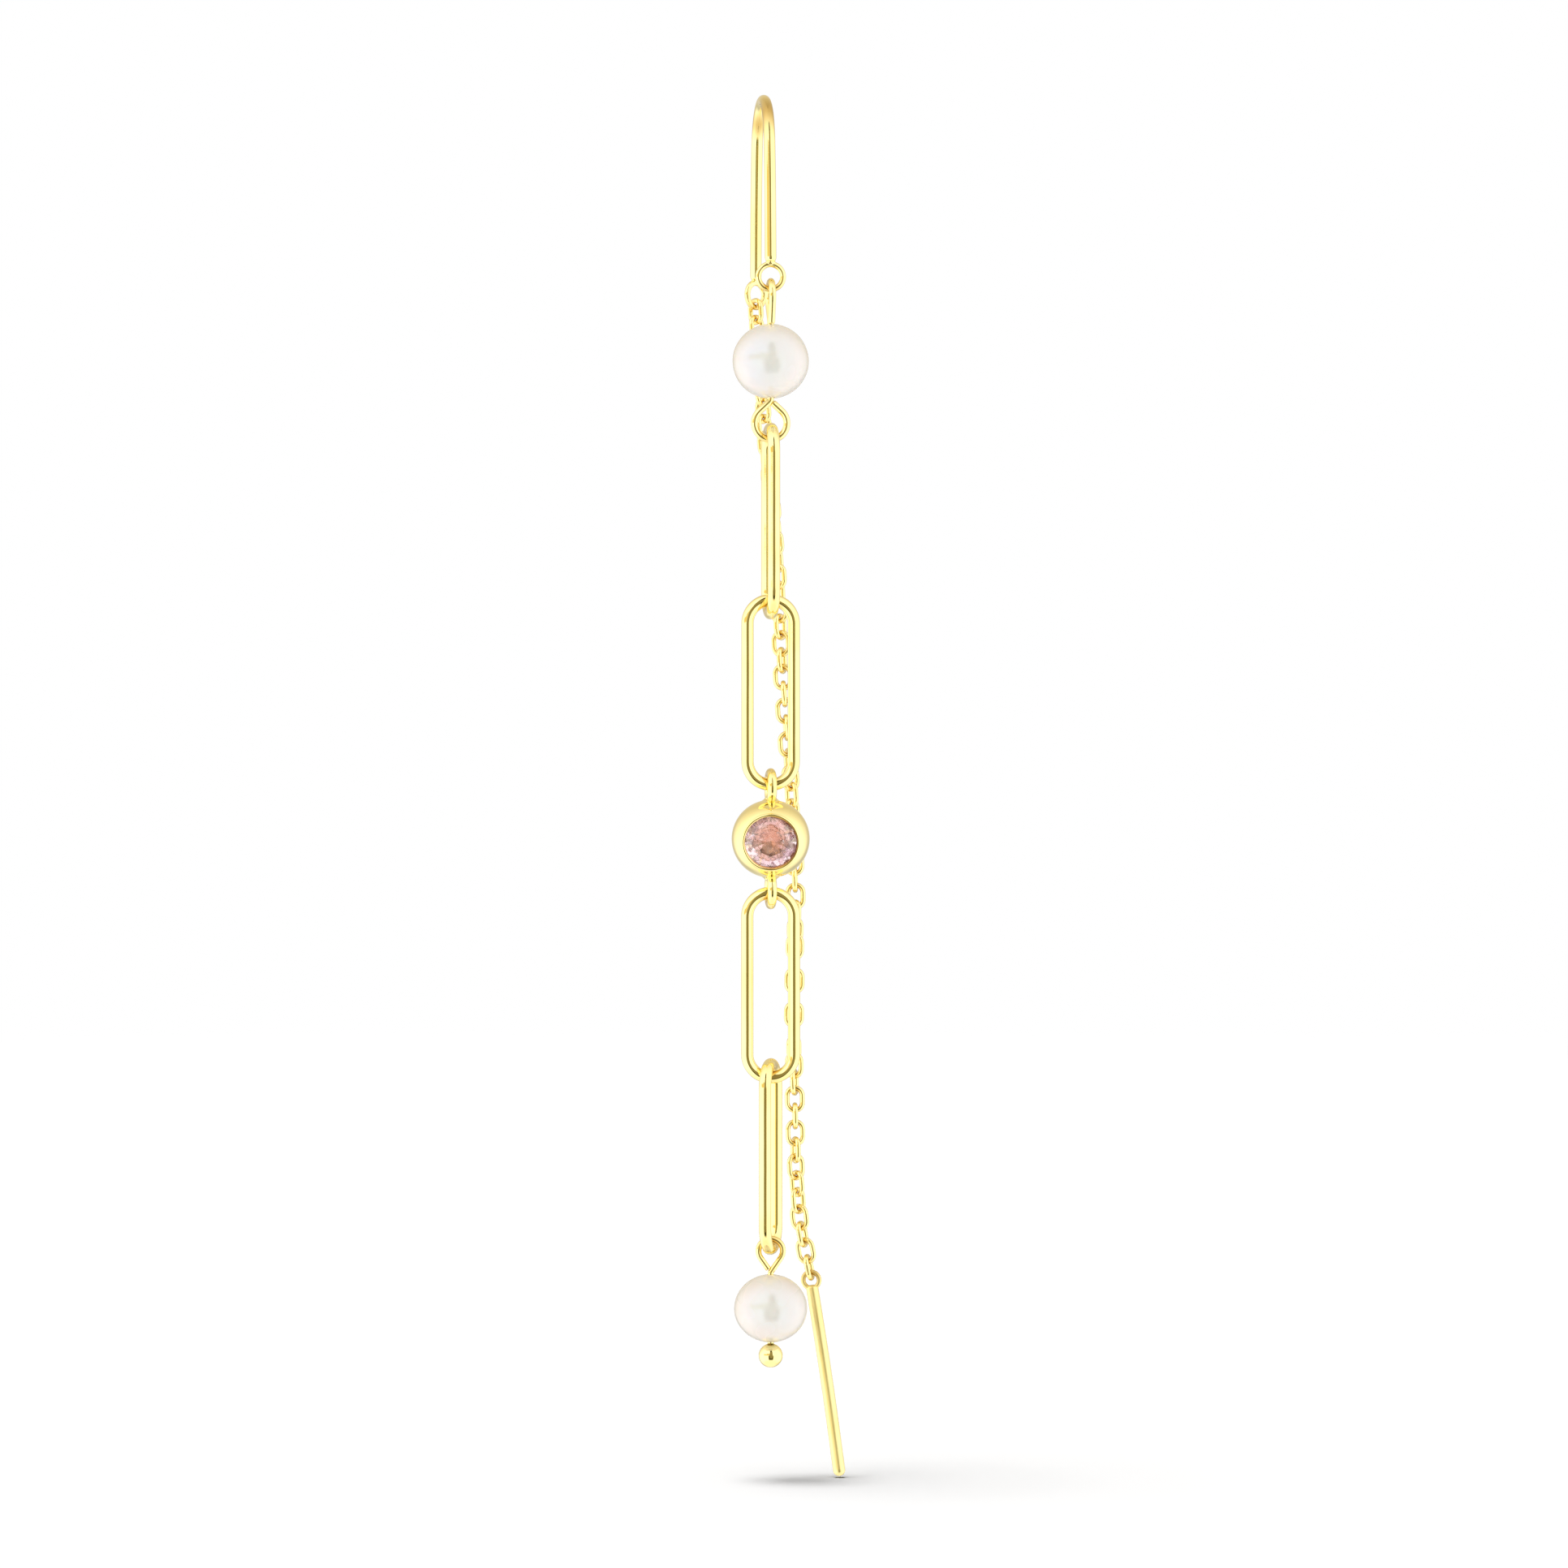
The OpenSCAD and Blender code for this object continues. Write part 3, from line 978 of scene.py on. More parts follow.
@dataclass
class EarWire(Piece):
    """The arched wire that sits in the ear, with a small ring soldered under each leg."""

    node: str = "ear_wire"
    body: Body = Body.HOOK
    wire_r: float = 0.31
    arch_r: float = 2.8
    arch_z: float = -2.49
    arch_end: float = 9.0
    foot_lean: float = 2.2
    feet: tuple[complex, complex] = (-3.262 - 8.76j, 3.298 - 9.26j)
    ring_depths: Pair = (9.5, 10.0)
    ring_turns: Pair = (0.0, 40.0)
    ring_r: float = 0.67
    ring_wire_r: float = 0.16
    solder: Point = (0.3, 0.2, 0.17)
    solder_rise: float = 0.06
    dark_spot_lean: float = 48.0
    dark_spot_reaches: Pair = (1.7, 1.1)
    drawn_points: int = 240
    row_step: float = 0.09
    sides: int = 32

    def leg(self, foot: complex) -> Array:
        """Draws a leg from the arch to its foot.

        It is a cubic whose ends take the arch's lean and the foot's lean: weights
        (2t^3 - 3t^2 + 1, t^3 - 2t^2 + t, 3t^2 - 2t^3, t^3 - t^2) on the start, its direction, the
        foot and its direction.

        Args:
            foot: The leg's lower end: real is from front to back, imaginary is up.

        Returns:
            The leg's points, as complex numbers.
        """
        side = math.copysign(1, foot.real)
        top_angle, foot_angle = math.radians(self.arch_end), math.radians(self.foot_lean)
        start = complex(side * math.cos(top_angle), math.sin(top_angle)) * self.arch_r
        start += 1j * self.arch_z
        length = abs(foot - start)
        leave = length * complex(side * math.sin(top_angle), -math.cos(top_angle))
        arrive = length * complex(side * math.sin(foot_angle), -math.cos(foot_angle))
        t = np.linspace(0, 1, self.drawn_points)
        from_start = (2 * t**3 - 3 * t**2 + 1) * start + (t**3 - 2 * t**2 + t) * leave
        return from_start + (3 * t**2 - 2 * t**3) * foot + (t**3 - t**2) * arrive

    def surface(self) -> Surface:
        """Joins the bent wire, its two rings and the solder between them.

        Returns:
            The closed shells.
        """
        ends = np.linspace(180 - self.arch_end, self.arch_end, self.drawn_points)
        arch = 1j * self.arch_z + self.arch_r * np.exp(1j * np.radians(ends))
        outline = np.concatenate([self.leg(self.feet[0])[:0:-1], arch, self.leg(self.feet[1])[1:]])
        line = stand(outline, 90, (0, 0, 0))
        domed = (WireEnd.DOMED, WireEnd.DOMED)
        parts = [wire(line, self.wire_r, domed, self.row_step, self.sides)]
        for y, depth, turn in zip((FRONT_Y, REAR_Y), self.ring_depths, self.ring_turns):
            parts.append(ring((0, y, -depth), self.ring_r, self.ring_wire_r, turn))
            joint = (0, y, -depth + self.ring_r + self.solder_rise)
            parts.append(bead_of_solder(joint, self.solder, turn))
        return Surface.joined(parts)

    def painted_shade_share(self, points: Array) -> Array:
        """Also darkens the gold at two places on the arch, at the set lean to each side of its top.

        Args:
            points: Points of the piece.

        Returns:
            The share for each point, with a longer reach round those two places.
        """
        lean = math.radians(self.dark_spot_lean)
        across, up = self.arch_r * math.sin(lean), self.arch_z + self.arch_r * math.cos(lean)
        dark_spots = np.array([(0, -across, up), (0, across, up)])
        away = np.linalg.norm(points[:, None] - dark_spots, axis=2) / self.dark_spot_reaches
        return np.maximum(super().painted_shade_share(points), np.clip(1 - away.min(axis=1), 0, 1))


@dataclass(frozen=True)
class PinEye:
    """An eye bent from the end of a pin.

    The wire swings out of the pin's line round a small bend, runs straight, goes round the eye and
    comes straight back, so that its cut end rests against the wire. Zero is the tip, where the bend
    starts.
    """

    eye_r: float
    tip: float
    bend_r: float
    wire_r: float
    rest: Rest
    rest_height: float = 0.04
    first_lean: float = 0.4
    repeats: int = 30
    stop_share: float = 0.9

    def swing(self) -> float:
        """Works out how far the wire swings out: the lean of the line that touches bend and eye.

        It is asin((eye_r + bend_r) / d) - atan(bend_r / tip), with d from middle to middle.
        """
        apart = math.hypot(self.tip, self.bend_r)
        return math.asin((self.eye_r + self.bend_r) / apart) - math.atan2(self.bend_r, self.tip)

    def comes_back(self) -> Pair:
        """Works out the lean and length of the straight stretch that comes back from the eye.

        Against the swing, the eye is even on both sides: the two straights would cross at the
        height bend_r tan(swing / 2), and the end stops a share of wire_r / tan(swing) before.
        Against the pin, the lean a has wire_r cos a (1 + cos a) + (tip - end height) sin a = eye_r,
        and is found by repeating.

        Returns:
            The lean in radians, and the length.
        """
        if self.rest is Rest.SWING:
            lean = self.swing()
            crossing = self.bend_r * math.tan(lean / 2)
            length = math.sqrt((self.tip - crossing) ** 2 - self.eye_r**2)
            return lean, length - self.stop_share * self.wire_r / math.tan(lean)
        lean = self.first_lean
        for _ in range(self.repeats):
            end_height = self.rest_height - self.wire_r * math.sin(lean)
            beside = self.wire_r * math.cos(lean) * (1 + math.cos(lean))
            lean = math.asin(min(1.0, (self.eye_r - beside) / (self.tip - end_height)))
        back = math.hypot(self.wire_r * (1 + math.cos(lean)), self.tip - end_height)
        return lean, math.sqrt(back**2 - self.eye_r**2)

    def outline(self, shank: float) -> Array:
        """Bends the eye, starting at the given distance down the shank.

        Args:
            shank: Length of straight pin below the tip.

        Returns:
            The flat outline, as complex points.
        """
        swing = self.swing()
        lean, back = self.comes_back()
        reach = self.eye_r + self.bend_r
        bending = Bending(complex(0, -shank), 1j)
        bending.straight(shank)
        bending.bend(self.bend_r, -math.degrees(swing))
        bending.straight(math.sqrt(self.tip**2 + self.bend_r**2 - reach**2))
        bending.bend(self.eye_r, 180 + math.degrees(swing + lean))
        bending.straight(back)
        return bending.outline()


@dataclass
class EyePin(Piece):
    """The pin through the upper pearl, with an eye bent at each end."""

    node: str = "eye_pin"
    wire_r: float = 0.19
    middle_z: float = -14.05
    upper_tip_z: float = -11.98
    lower_tip_z: float = -16.12
    upper: PinEye = PinEye(0.82, 1.40, 0.34, 0.19, Rest.PIN)
    lower: PinEye = PinEye(0.88, 1.26, 0.12, 0.19, Rest.SWING)
    upper_turn: float = 90.0
    lower_turn: float = 180.0
    row_step: float = 0.06

    def surface(self) -> Surface:
        """Joins the two eyes by the shank, along which the cross direction turns a quarter.

        Returns:
            The closed shell.
        """
        top, foot = self.upper_tip_z, self.lower_tip_z
        up = stand(self.upper.outline(top - self.middle_z), self.upper_turn, (0, FRONT_Y, top))
        outline = self.lower.outline(self.middle_z - foot)
        down = stand(outline, self.lower_turn, (0, FRONT_Y, foot), Eye.BELOW)
        points = np.concatenate([up.points[::-1], down.points[1:]])
        share = np.clip((points[:, 2] - foot) / (top - foot), 0, 1)[:, None]
        across = np.sin(share * TURN / 4) * up.across[0] + np.cos(share * TURN / 4) * down.across[0]
        return wire(Line(points, across), self.wire_r, (WireEnd.CUT, WireEnd.CUT), self.row_step)


@dataclass
class Pearl(Piece):
    """A drilled pearl, a little uneven as it grew."""

    node: str = "upper_pearl"
    finish: Finish = PEARL
    centre_z: float = -14.05
    width: float = 4.12
    height: float = 4.02
    hole_r: float = 0.24
    mouth_r: float = 0.07
    mouth_start: float = 108.0
    hole_points: int = 5
    bore_share: float = 0.8
    unevenness: float = 0.008
    phase: float = 0.0
    rows: int = 73
    columns: int = 112

    def surface(self) -> Surface:
        """Turns the drilled profile, then sinks it by soft waves.

        The outside is (w/2 cos b, h/2 sin b). A wave sinks a point by the unevenness times the mean
        of sin(3a + phase) cos(2b + 0.4) and sin(5a + 6b + 2 phase), each brought to lie between 0
        and 1.

        Returns:
            The closed shell.
        """
        edge = self.hole_r + self.mouth_r
        limit = math.degrees(math.acos(2 * edge / self.width))
        half = np.array([self.width / 2, self.height / 2])
        outside = half * arc_profile((0, 0), 1, -limit, limit, self.rows)
        top = outside[-1, 1]
        middle = (edge, top - self.mouth_r)
        mouth = arc_profile(middle, self.mouth_r, self.mouth_start, 180, self.hole_points)
        depths = np.linspace(self.bore_share * top, -self.bore_share * top, self.hole_points)
        bore = np.stack([np.full(self.hole_points, self.hole_r), depths], axis=1)
        profile = np.concatenate([outside, mouth, bore, (mouth * np.array([1, -1]))[::-1]])
        shell = turned_on_lathe(profile, self.columns, closed=True)
        around = np.arctan2(shell.points[:, 1], shell.points[:, 0])
        height = np.arcsin(np.clip(2 * shell.points[:, 2] / self.height, -1, 1))
        waves = np.sin(3 * around + self.phase) * np.cos(2 * height + 0.4)
        waves = waves + np.sin(5 * around + 6 * height + 2 * self.phase)
        sunk = 1 - self.unevenness * (2 + waves) / 4 * np.cos(height) ** 2
        shell.points = shell.points * sunk[:, None]
        return shell.moved((0, FRONT_Y, self.centre_z))


@dataclass
class LongLink(Piece):
    """A long closed link with straight sides and round ends."""

    node: str = "long_link_1"
    centre_z: float = -22.65
    turn: float = 91.0
    size: Pair = (3.18, 10.6)
    wire_r: float = 0.33
    rows: int = 200
    sides: int = 32

    def surface(self) -> Surface:
        """Makes the link in its place in the strand."""
        centre = (0, FRONT_Y, self.centre_z)
        return oval_link(self.size, self.wire_r, self.turn, centre, self.rows, self.sides)


@dataclass
class StoneCup(Piece):
    """The ball-shaped cup cut flat in front for the stone, with a ring soldered at each end."""

    node: str = "stone_cup"
    centre: Point = (0.0, FRONT_Y, -39.75)
    ball_r: float = 2.1
    front: float = 1.48
    tilt: float = 8.0
    turn: float = -7.0
    bevel: Pair = (1.43, -0.1)
    lip: Pair = (1.378, -0.33)
    seat: Pair = (1.47, -0.5)
    well: Pair = (0.2, -1.75)
    rim_round: float = 0.09
    rim_inset: float = 0.015
    rim_share: float = 0.77
    rim_turn: Pair = (40.0, 150.0)
    undercut: Pair = (0.01, -0.02)
    ledge: float = 0.03
    ball_start: float = -88.0
    ball_rows: int = 64
    rim_rows: int = 9
    columns: int = 128
    ring_r: float = 0.75
    ring_wire_r: float = 0.25
    ring_offset: float = 2.8
    ring_points: tuple[int, int] = (80, 24)
    collar_d: float = 1.7
    collar_top_d: float = 0.64
    collar_rise: float = 0.12
    collar_sink: float = 0.02
    collar_root: Pair = (0.1, 0.12)
    collar_curve: float = 1.7
    collar_points: tuple[int, int] = (12, 48)
    # How dark, and between which depths, shadow is painted in the gap round the stone
    gap_shadow_share: Pair = (0.7, 1.3)
    gap_shadow_depths: Pair = (0.002, 1.85)
    least_away: float = 0.01

    def facing_matrix(self) -> Array:
        """Gives the turning that makes +Z face the viewer, down by the tilt, aside by the turn."""
        return turned_about(Axis.Z, self.turn) @ turned_about(Axis.X, 90 + self.tilt)

    def facing(self, shell: Surface) -> Surface:
        """Turns a shell that faces +Z, with the cut front at height 0, to face as the cup does."""
        return shell.moved((0, 0, self.front)).moved(self.centre, self.facing_matrix())

    def rim_r(self) -> float:
        """Works out the radius of the rim's crest, just inside the edge where the ball is cut."""
        return math.sqrt(self.ball_r**2 - self.front**2) - self.rim_inset

    def ball(self) -> Surface:
        """Turns the cup: up the ball, over the rolled rim, down the bevel and under the lip.

        Returns:
            The closed shell, in its place.
        """
        rim_foot = (self.rim_r() + self.rim_share * self.rim_round, self.front - self.rim_round)
        limit = math.degrees(math.atan2(rim_foot[1], rim_foot[0]))
        middle = (0, -self.front)
        outside = arc_profile(middle, self.ball_r, self.ball_start, limit, self.ball_rows)
        middle = (self.rim_r(), -self.rim_round)
        rim = arc_profile(middle, self.rim_round, *self.rim_turn, self.rim_rows)
        under = np.add(self.lip, self.undercut)
        ledge = (self.seat[0], self.lip[1] - self.ledge)
        inside = np.array([self.bevel, self.lip, under, ledge, self.seat, self.well])
        profile = np.concatenate([outside, rim, inside])
        return self.facing(turned_on_lathe(profile, self.columns))

    def collar(self) -> Surface:
        """Turns the solder that runs hollow from the ball up to a ring.

        Its radius is top + (foot - top) (1 - s)^1.7, with s from 0 at its foot to 1 at its top.

        Returns:
            The closed shell, standing on a ball at the origin.
        """
        foot = math.sqrt(self.ball_r**2 - self.collar_d**2 / 4)
        rows, columns = self.collar_points
        share = np.linspace(0, 1, rows)
        flare = (self.collar_d - self.collar_top_d) / 2 * (1 - share) ** self.collar_curve
        height = foot - self.collar_sink + (self.ball_r + self.collar_rise - foot) * share
        profile = np.stack([self.collar_top_d / 2 + flare, height], axis=1)
        root = (self.collar_d / 2 - self.collar_root[0], foot - self.collar_root[1])
        return turned_on_lathe(np.concatenate([[root], profile]), columns)

    def surface(self) -> Surface:
        """Joins the ball, its rings and the solder collars at their feet.

        Returns:
            The closed shells.
        """
        parts = [self.ball()]
        x, y, z = self.centre
        for side in (-1, 1):
            ring_at = (x, y, z + side * self.ring_offset)
            parts.append(ring(ring_at, self.ring_r, self.ring_wire_r, 90, *self.ring_points))
            parts.append(self.collar().moved(self.centre, np.diag([1.0, side, side])))
        return Surface.joined(parts)

    def painted_shade_share(self, points: Array) -> Array:
        """Paints shadow on the edge round the stone too, most to the viewer's right, where the lip
        shades the gap.

        Inside the rim it is at least 0.7 + 1.3 cos a, with a from the right in the stone's plane.

        Args:
            points: Points of the piece.

        Returns:
            The share for each point, up to 2.
        """
        share = super().painted_shade_share(points)
        x, y, z = ((points - self.centre) @ self.facing_matrix()).T
        away, drop = np.hypot(x, y), self.front - z
        top, bottom = self.gap_shadow_depths
        edge = (away < self.rim_r()) & (drop > top) & (drop < bottom)
        to_right = x / np.maximum(away, self.least_away)
        # Painted shadow in the gap round the stone, darkest to the viewer's right
        dark = np.clip(self.gap_shadow_share[0] + self.gap_shadow_share[1] * to_right, 0, 2)
        return np.where(edge, np.maximum(share, dark), share)


@dataclass
class Stone(Piece):
    """A round brilliant: table, 8 stars, 8 kites, 16 upper and 16 lower halves, and 8 mains."""

    node: str = "stone"
    finish: Finish = GLASS
    crease: float = 1.0
    cup: StoneCup = field(default_factory=StoneCup)
    back: StoneFoil = FOIL
    radius: float = 1.45
    table_r: float = 0.75
    star_r: float = 1.1
    split_r: float = 0.34
    crown: float = 0.38
    girdle: float = 0.06
    pavilion: float = 1.2
    foil_low: float = 0.16
    lip_shade: float = 0.12

    # Half of the angle between two mains, in degrees
    BESIDE: ClassVar[float] = 22.5

    def circle(self, radius: float, count: int, offset: float, height: float) -> Array:
        """Gives corner points on a circle, the first one turned by the offset in degrees."""
        around = radius * np.exp(1j * (once_round(count) + math.radians(offset)))
        return np.stack([around.real, around.imag, np.full(count, height)], axis=1)

    def surface(self) -> Surface:
        """Sets the corner points on circles and joins them into flat facets.

        A kite or main falls evenly outwards, so a corner at radius r and 22.5 degrees beside its
        middle lies at the share (R - r cos 22.5) / (R - inner radius) of the way up.

        Returns:
            The closed shell, in its place in the cup.
        """
        beside = math.cos(math.radians(self.BESIDE))
        crown_width = self.radius - self.table_r
        star_height = self.crown * (self.radius - self.star_r * beside) / crown_width
        split_height = -self.girdle - self.pavilion * (1 - self.split_r * beside / self.radius)
        circles = [
            self.circle(self.table_r, 8, 0, self.crown),
            self.circle(self.star_r, 8, self.BESIDE, star_height),
            self.circle(self.radius, 16, 0, 0),
            self.circle(self.radius, 16, 0, -self.girdle),
            self.circle(self.split_r, 8, self.BESIDE, split_height),
            [[0, 0, -self.girdle - self.pavilion], [0, 0, self.crown]],
        ]
        k, j = np.arange(8), np.arange(16)
        table, star, split = Corner.TABLE + k, Corner.STAR + k, Corner.SPLIT + k
        upper, lower = Corner.UPPER + j, Corner.LOWER + j
        point, middle = Corner.POINT + 0 * k, Corner.MIDDLE + 0 * k
        quads = [
            (table, np.roll(star, 1), upper[::2], star),
            (point, split, lower[::2], np.roll(split, 1)),
            (upper, lower, np.roll(lower, -1), np.roll(upper, -1)),
        ]
        triangles = [
            (middle, table, np.roll(table, -1)),
            (table, star, np.roll(table, -1)),
            (star, upper[::2], upper[1::2]),
            (star, upper[1::2], np.roll(upper, -2)[::2]),
            (split, lower[1::2], lower[::2]),
            (split, np.roll(lower, -2)[::2], lower[1::2]),
        ]
        faces = [
            np.concatenate([np.stack(face, axis=1) for face in kind]) for kind in (quads, triangles)
        ]
        shell = Surface(np.concatenate(circles), *faces)
        return self.cup.facing(shell.moved((0, 0, -self.crown)))

    def dress(self, made: bpy.types.Object) -> None:
        """Gives the crown and girdle the glass, and the facets behind the girdle the foil.

        The rim share is 1 at the girdle, and more to the viewer's right, where the foil paints the
        shade that the cup's lip casts on the stone. The foil's darker painted middle lies a share
        of
        the radius below the point: the stone looks down, and there it shows behind the table.

        Args:
            made: The stone's object.
        """
        self.finish.dress(made)
        made.data.materials.append(self.back.material())
        # 8 kites, 8 mains and 16 girdle facets, then 32 triangles of the crown and 16 lower halves
        foil = np.repeat([0, 1, 0, 1], [8, 8, 16 + 32, 16]).astype(np.int32)
        made.data.polygons.foreach_set("material_index", foil)
        share = np.ones(len(made.data.vertices), np.float32)
        share[Corner.TABLE : Corner.STAR] = share[Corner.MIDDLE] = self.table_r / self.radius
        split = self.circle(self.split_r / self.radius, 8, self.BESIDE, 0)
        share[Corner.SPLIT : Corner.POINT] = np.hypot(split[:, 0], split[:, 1] + self.foil_low)
        share[Corner.POINT] = self.foil_low
        # Painted shade of the cup's lip, stronger to the viewer's right
        to_right = np.clip(np.cos(once_round(16)), 0, 1)
        share[Corner.LOWER : Corner.SPLIT] += self.lip_shade * to_right
        write_share(made, self.back.rim_name, share)


@dataclass
class BallPin(Piece):
    """The pin through the lower pearl, with an eye above and a ball at its foot."""

    node: str = "ball_pin"
    wire_r: float = 0.16
    tip_z: float = -63.13
    ball_z: float = -67.56
    ball_r: float = 0.65
    ball_turn: Pair = (-88.0, 72.0)
    ball_rows: int = 40
    neck: tuple[Pair, Pair] = ((0.012, 0.0), (-0.02, 0.05))
    eye: PinEye = PinEye(0.66, 1.2, 0.15, 0.16, Rest.SWING)
    row_step: float = 0.05
    columns: int = 56

    def surface(self) -> Surface:
        """Joins the bent pin and the ball melted at its foot, which draws up to the wire in a neck.

        Returns:
            The closed shells.
        """
        line = stand(self.eye.outline(self.tip_z - self.ball_z), 0, (0, FRONT_Y, self.tip_z))
        pin = wire(line, self.wire_r, (WireEnd.CUT, WireEnd.CUT), self.row_step)
        ball = arc_profile((0, 0), self.ball_r, *self.ball_turn, self.ball_rows)
        neck = np.add(self.neck, (self.wire_r, self.ball_r))
        foot = turned_on_lathe(np.concatenate([ball, neck]), self.columns)
        return Surface.joined([pin, foot.moved((0, FRONT_Y, self.ball_z))])


@dataclass
class FineChain(Piece):
    """The fine chain behind the ear: small oval links, each through the next."""

    node: str = "fine_chain"
    body: Body = Body.HOOK
    links: int = 58
    wire_r: float = 0.138
    size: Pair = (1.1, 1.5)
    pitch: float = 0.92
    first_depth: float = 10.9
    uneven_turn: float = 5.0
    seed: int = 11
    shade_reach: float = 0.42
    rows: int = 32
    sides: int = 10

    # Depths below the arch, and how far to the right and back the chain's middle line lies there
    ROUTE: ClassVar[Array] = np.array(
        [
            (10, 11, 17, 24.3, 31, 37.3, 43, 50.6, 57.7, 60.6, 64, 66),
            (0, 0, 0.36, 0.95, 1.22, 1.68, 1.87, 1.72, 1.8, 2, 2.7, 3.1),
            (REAR_Y, REAR_Y, 2.53, 1.7, 1.12, 0.98, 0.75, 0.36, 0.06, -0.04, -0.1, -0.1),
        ]
    )
    # Numbers of links, and how far the chain is twisted there, in degrees
    TWIST: ClassVar[Array] = np.array(
        [
            (1, 20, 25, 27, 36, 41, 43, 48, 50, 54, 58),
            (40, 50, 88, 92, 180, 268, 272, 358, 362, 408, 430),
        ]
    )

    def at(self, depth: float | Array) -> Array:
        """Reads the route at a depth below the arch, by straight steps between its points."""
        right, back = (np.interp(depth, self.ROUTE[0], row) for row in self.ROUTE[1:])
        return np.stack([right, back, -np.asarray(depth, float)], axis=-1)

    def centres(self) -> Array:
        """Sets the links one after another, each one pitch along the route from the last.

        Returns:
            The links' middles.
        """
        depths = [self.first_depth]
        while len(depths) < self.links:
            step = self.at(depths[-1] + self.pitch) - self.at(depths[-1])
            depths.append(depths[-1] + self.pitch**2 / float(np.linalg.norm(step)))
        return self.at(np.array(depths))

    def placings(self, centres: Array) -> Array:
        """Gives each link's turning matrix.

        A link is turned about +Z by 90 degrees more than the last, plus the chain's twist and a
        small error of its own. Then +Z is brought onto the route's direction v by the shortest way:
        I + K + K K / (1 + v z), where K(i, j) = v(i) z(j) - z(i) v(j).

        Args:
            centres: The links' middles.

        Returns:
            One matrix for each link.
        """
        number = np.arange(1, self.links + 1)
        spread = self.uneven_turn
        error = np.random.default_rng(self.seed).uniform(-spread, spread, self.links)
        turns = 90 * number + np.interp(number, *self.TWIST) + error
        spin = np.array([turned_about(Axis.Z, turn) for turn in turns])
        before, after = 2 * centres[:1] - centres[1:2], 2 * centres[-1:] - centres[-2:-1]
        padded = np.concatenate([before, centres, after])
        along = unit(padded[:-2] - padded[2:])
        onto = along[:, :, None] * UP
        cross = onto - onto.transpose(0, 2, 1)
        tilt = np.eye(3) + cross + cross @ cross / (1 + along[:, 2])[:, None, None]
        return tilt @ spin

    def surface(self) -> Surface:
        """Repeats one link at every place: point = centre + placing times the link's own point.

        Returns:
            The closed shells.
        """
        link = oval_link(self.size, self.wire_r, 0, (0, 0, 0), self.rows, self.sides)
        centres = self.centres()
        places = zip(centres, self.placings(centres))
        return Surface.joined([link.moved(centre, placing) for centre, placing in places])

    def touch_points(self) -> Array:
        """Finds the inside of both ends of each link, half a length less the wire from its middle.

        Returns:
            The points, in millimetres.
        """
        centres = self.centres()
        inside = self.placings(centres)[:, :, 2] * (self.size[1] / 2 - 2 * self.wire_r)
        return np.concatenate([centres + inside, centres - inside])


@dataclass
class ThreaderBar(Piece):
    """The straight bar that is threaded through the ear, with an eye soldered to its top."""

    node: str = "threader_bar"
    body: Body = Body.HOOK
    finish: Finish = SATIN_GOLD
    eye_at: Point = (2.62112, -0.0836385, -63.7637)
    eye_r: float = 0.44
    eye_wire_r: float = 0.13
    eye_turn: float = -20.0
    lean: float = 7.0
    slant: float = 12.0
    bar_r: float = 0.33
    top: float = 0.06
    foot: float = -10.31
    sag: float = 0.05
    solder: Point = (0.27, 0.22, 0.1)
    solder_rise: float = 0.08
    eye_points: tuple[int, int] = (56, 16)
    drawn_points: int = 300
    row_step: float = 0.12
    sides: int = 32

    def surface(self) -> Surface:
        """Joins the bar, its eye and the solder between them.

        The bar's middle line bows to one side by the sag times the sine of half a turn from top to
        foot. It is turned by the slant about +X at the eye's lowest point, and then everything by
        the lean about +Y at the eye's middle.

        Returns:
            The closed shells.
        """
        share = np.linspace(0, 1, self.drawn_points)
        height = self.top + (self.foot - self.top) * share
        points = np.stack([self.sag * np.sin(share * TURN / 2), 0 * share, height], axis=1)
        line = Line(points, np.tile([0.0, 1.0, 0.0], (len(points), 1)))
        bar = wire(line, self.bar_r, (WireEnd.CUT, WireEnd.DOMED), self.row_step, self.sides)
        joint = (0, 0, -self.eye_r + self.solder_rise)
        parts = [
            bar.moved((0, 0, -self.eye_r), turned_about(Axis.X, -self.slant)),
            ring((0, 0, 0), self.eye_r, self.eye_wire_r, self.eye_turn, *self.eye_points),
            bead_of_solder(joint, self.solder, self.eye_turn),
        ]
        return Surface.joined(parts).moved(self.eye_at, turned_about(Axis.Y, -self.lean))


# Studio


@dataclass(frozen=True)
class TentGap:
    """A darker opening in the tent: its middle and half sizes as angles, and its colour."""

    round_at: float
    wide: float
    up_at: float
    tall: float
    colour: Colour
    soft: float = 0.25


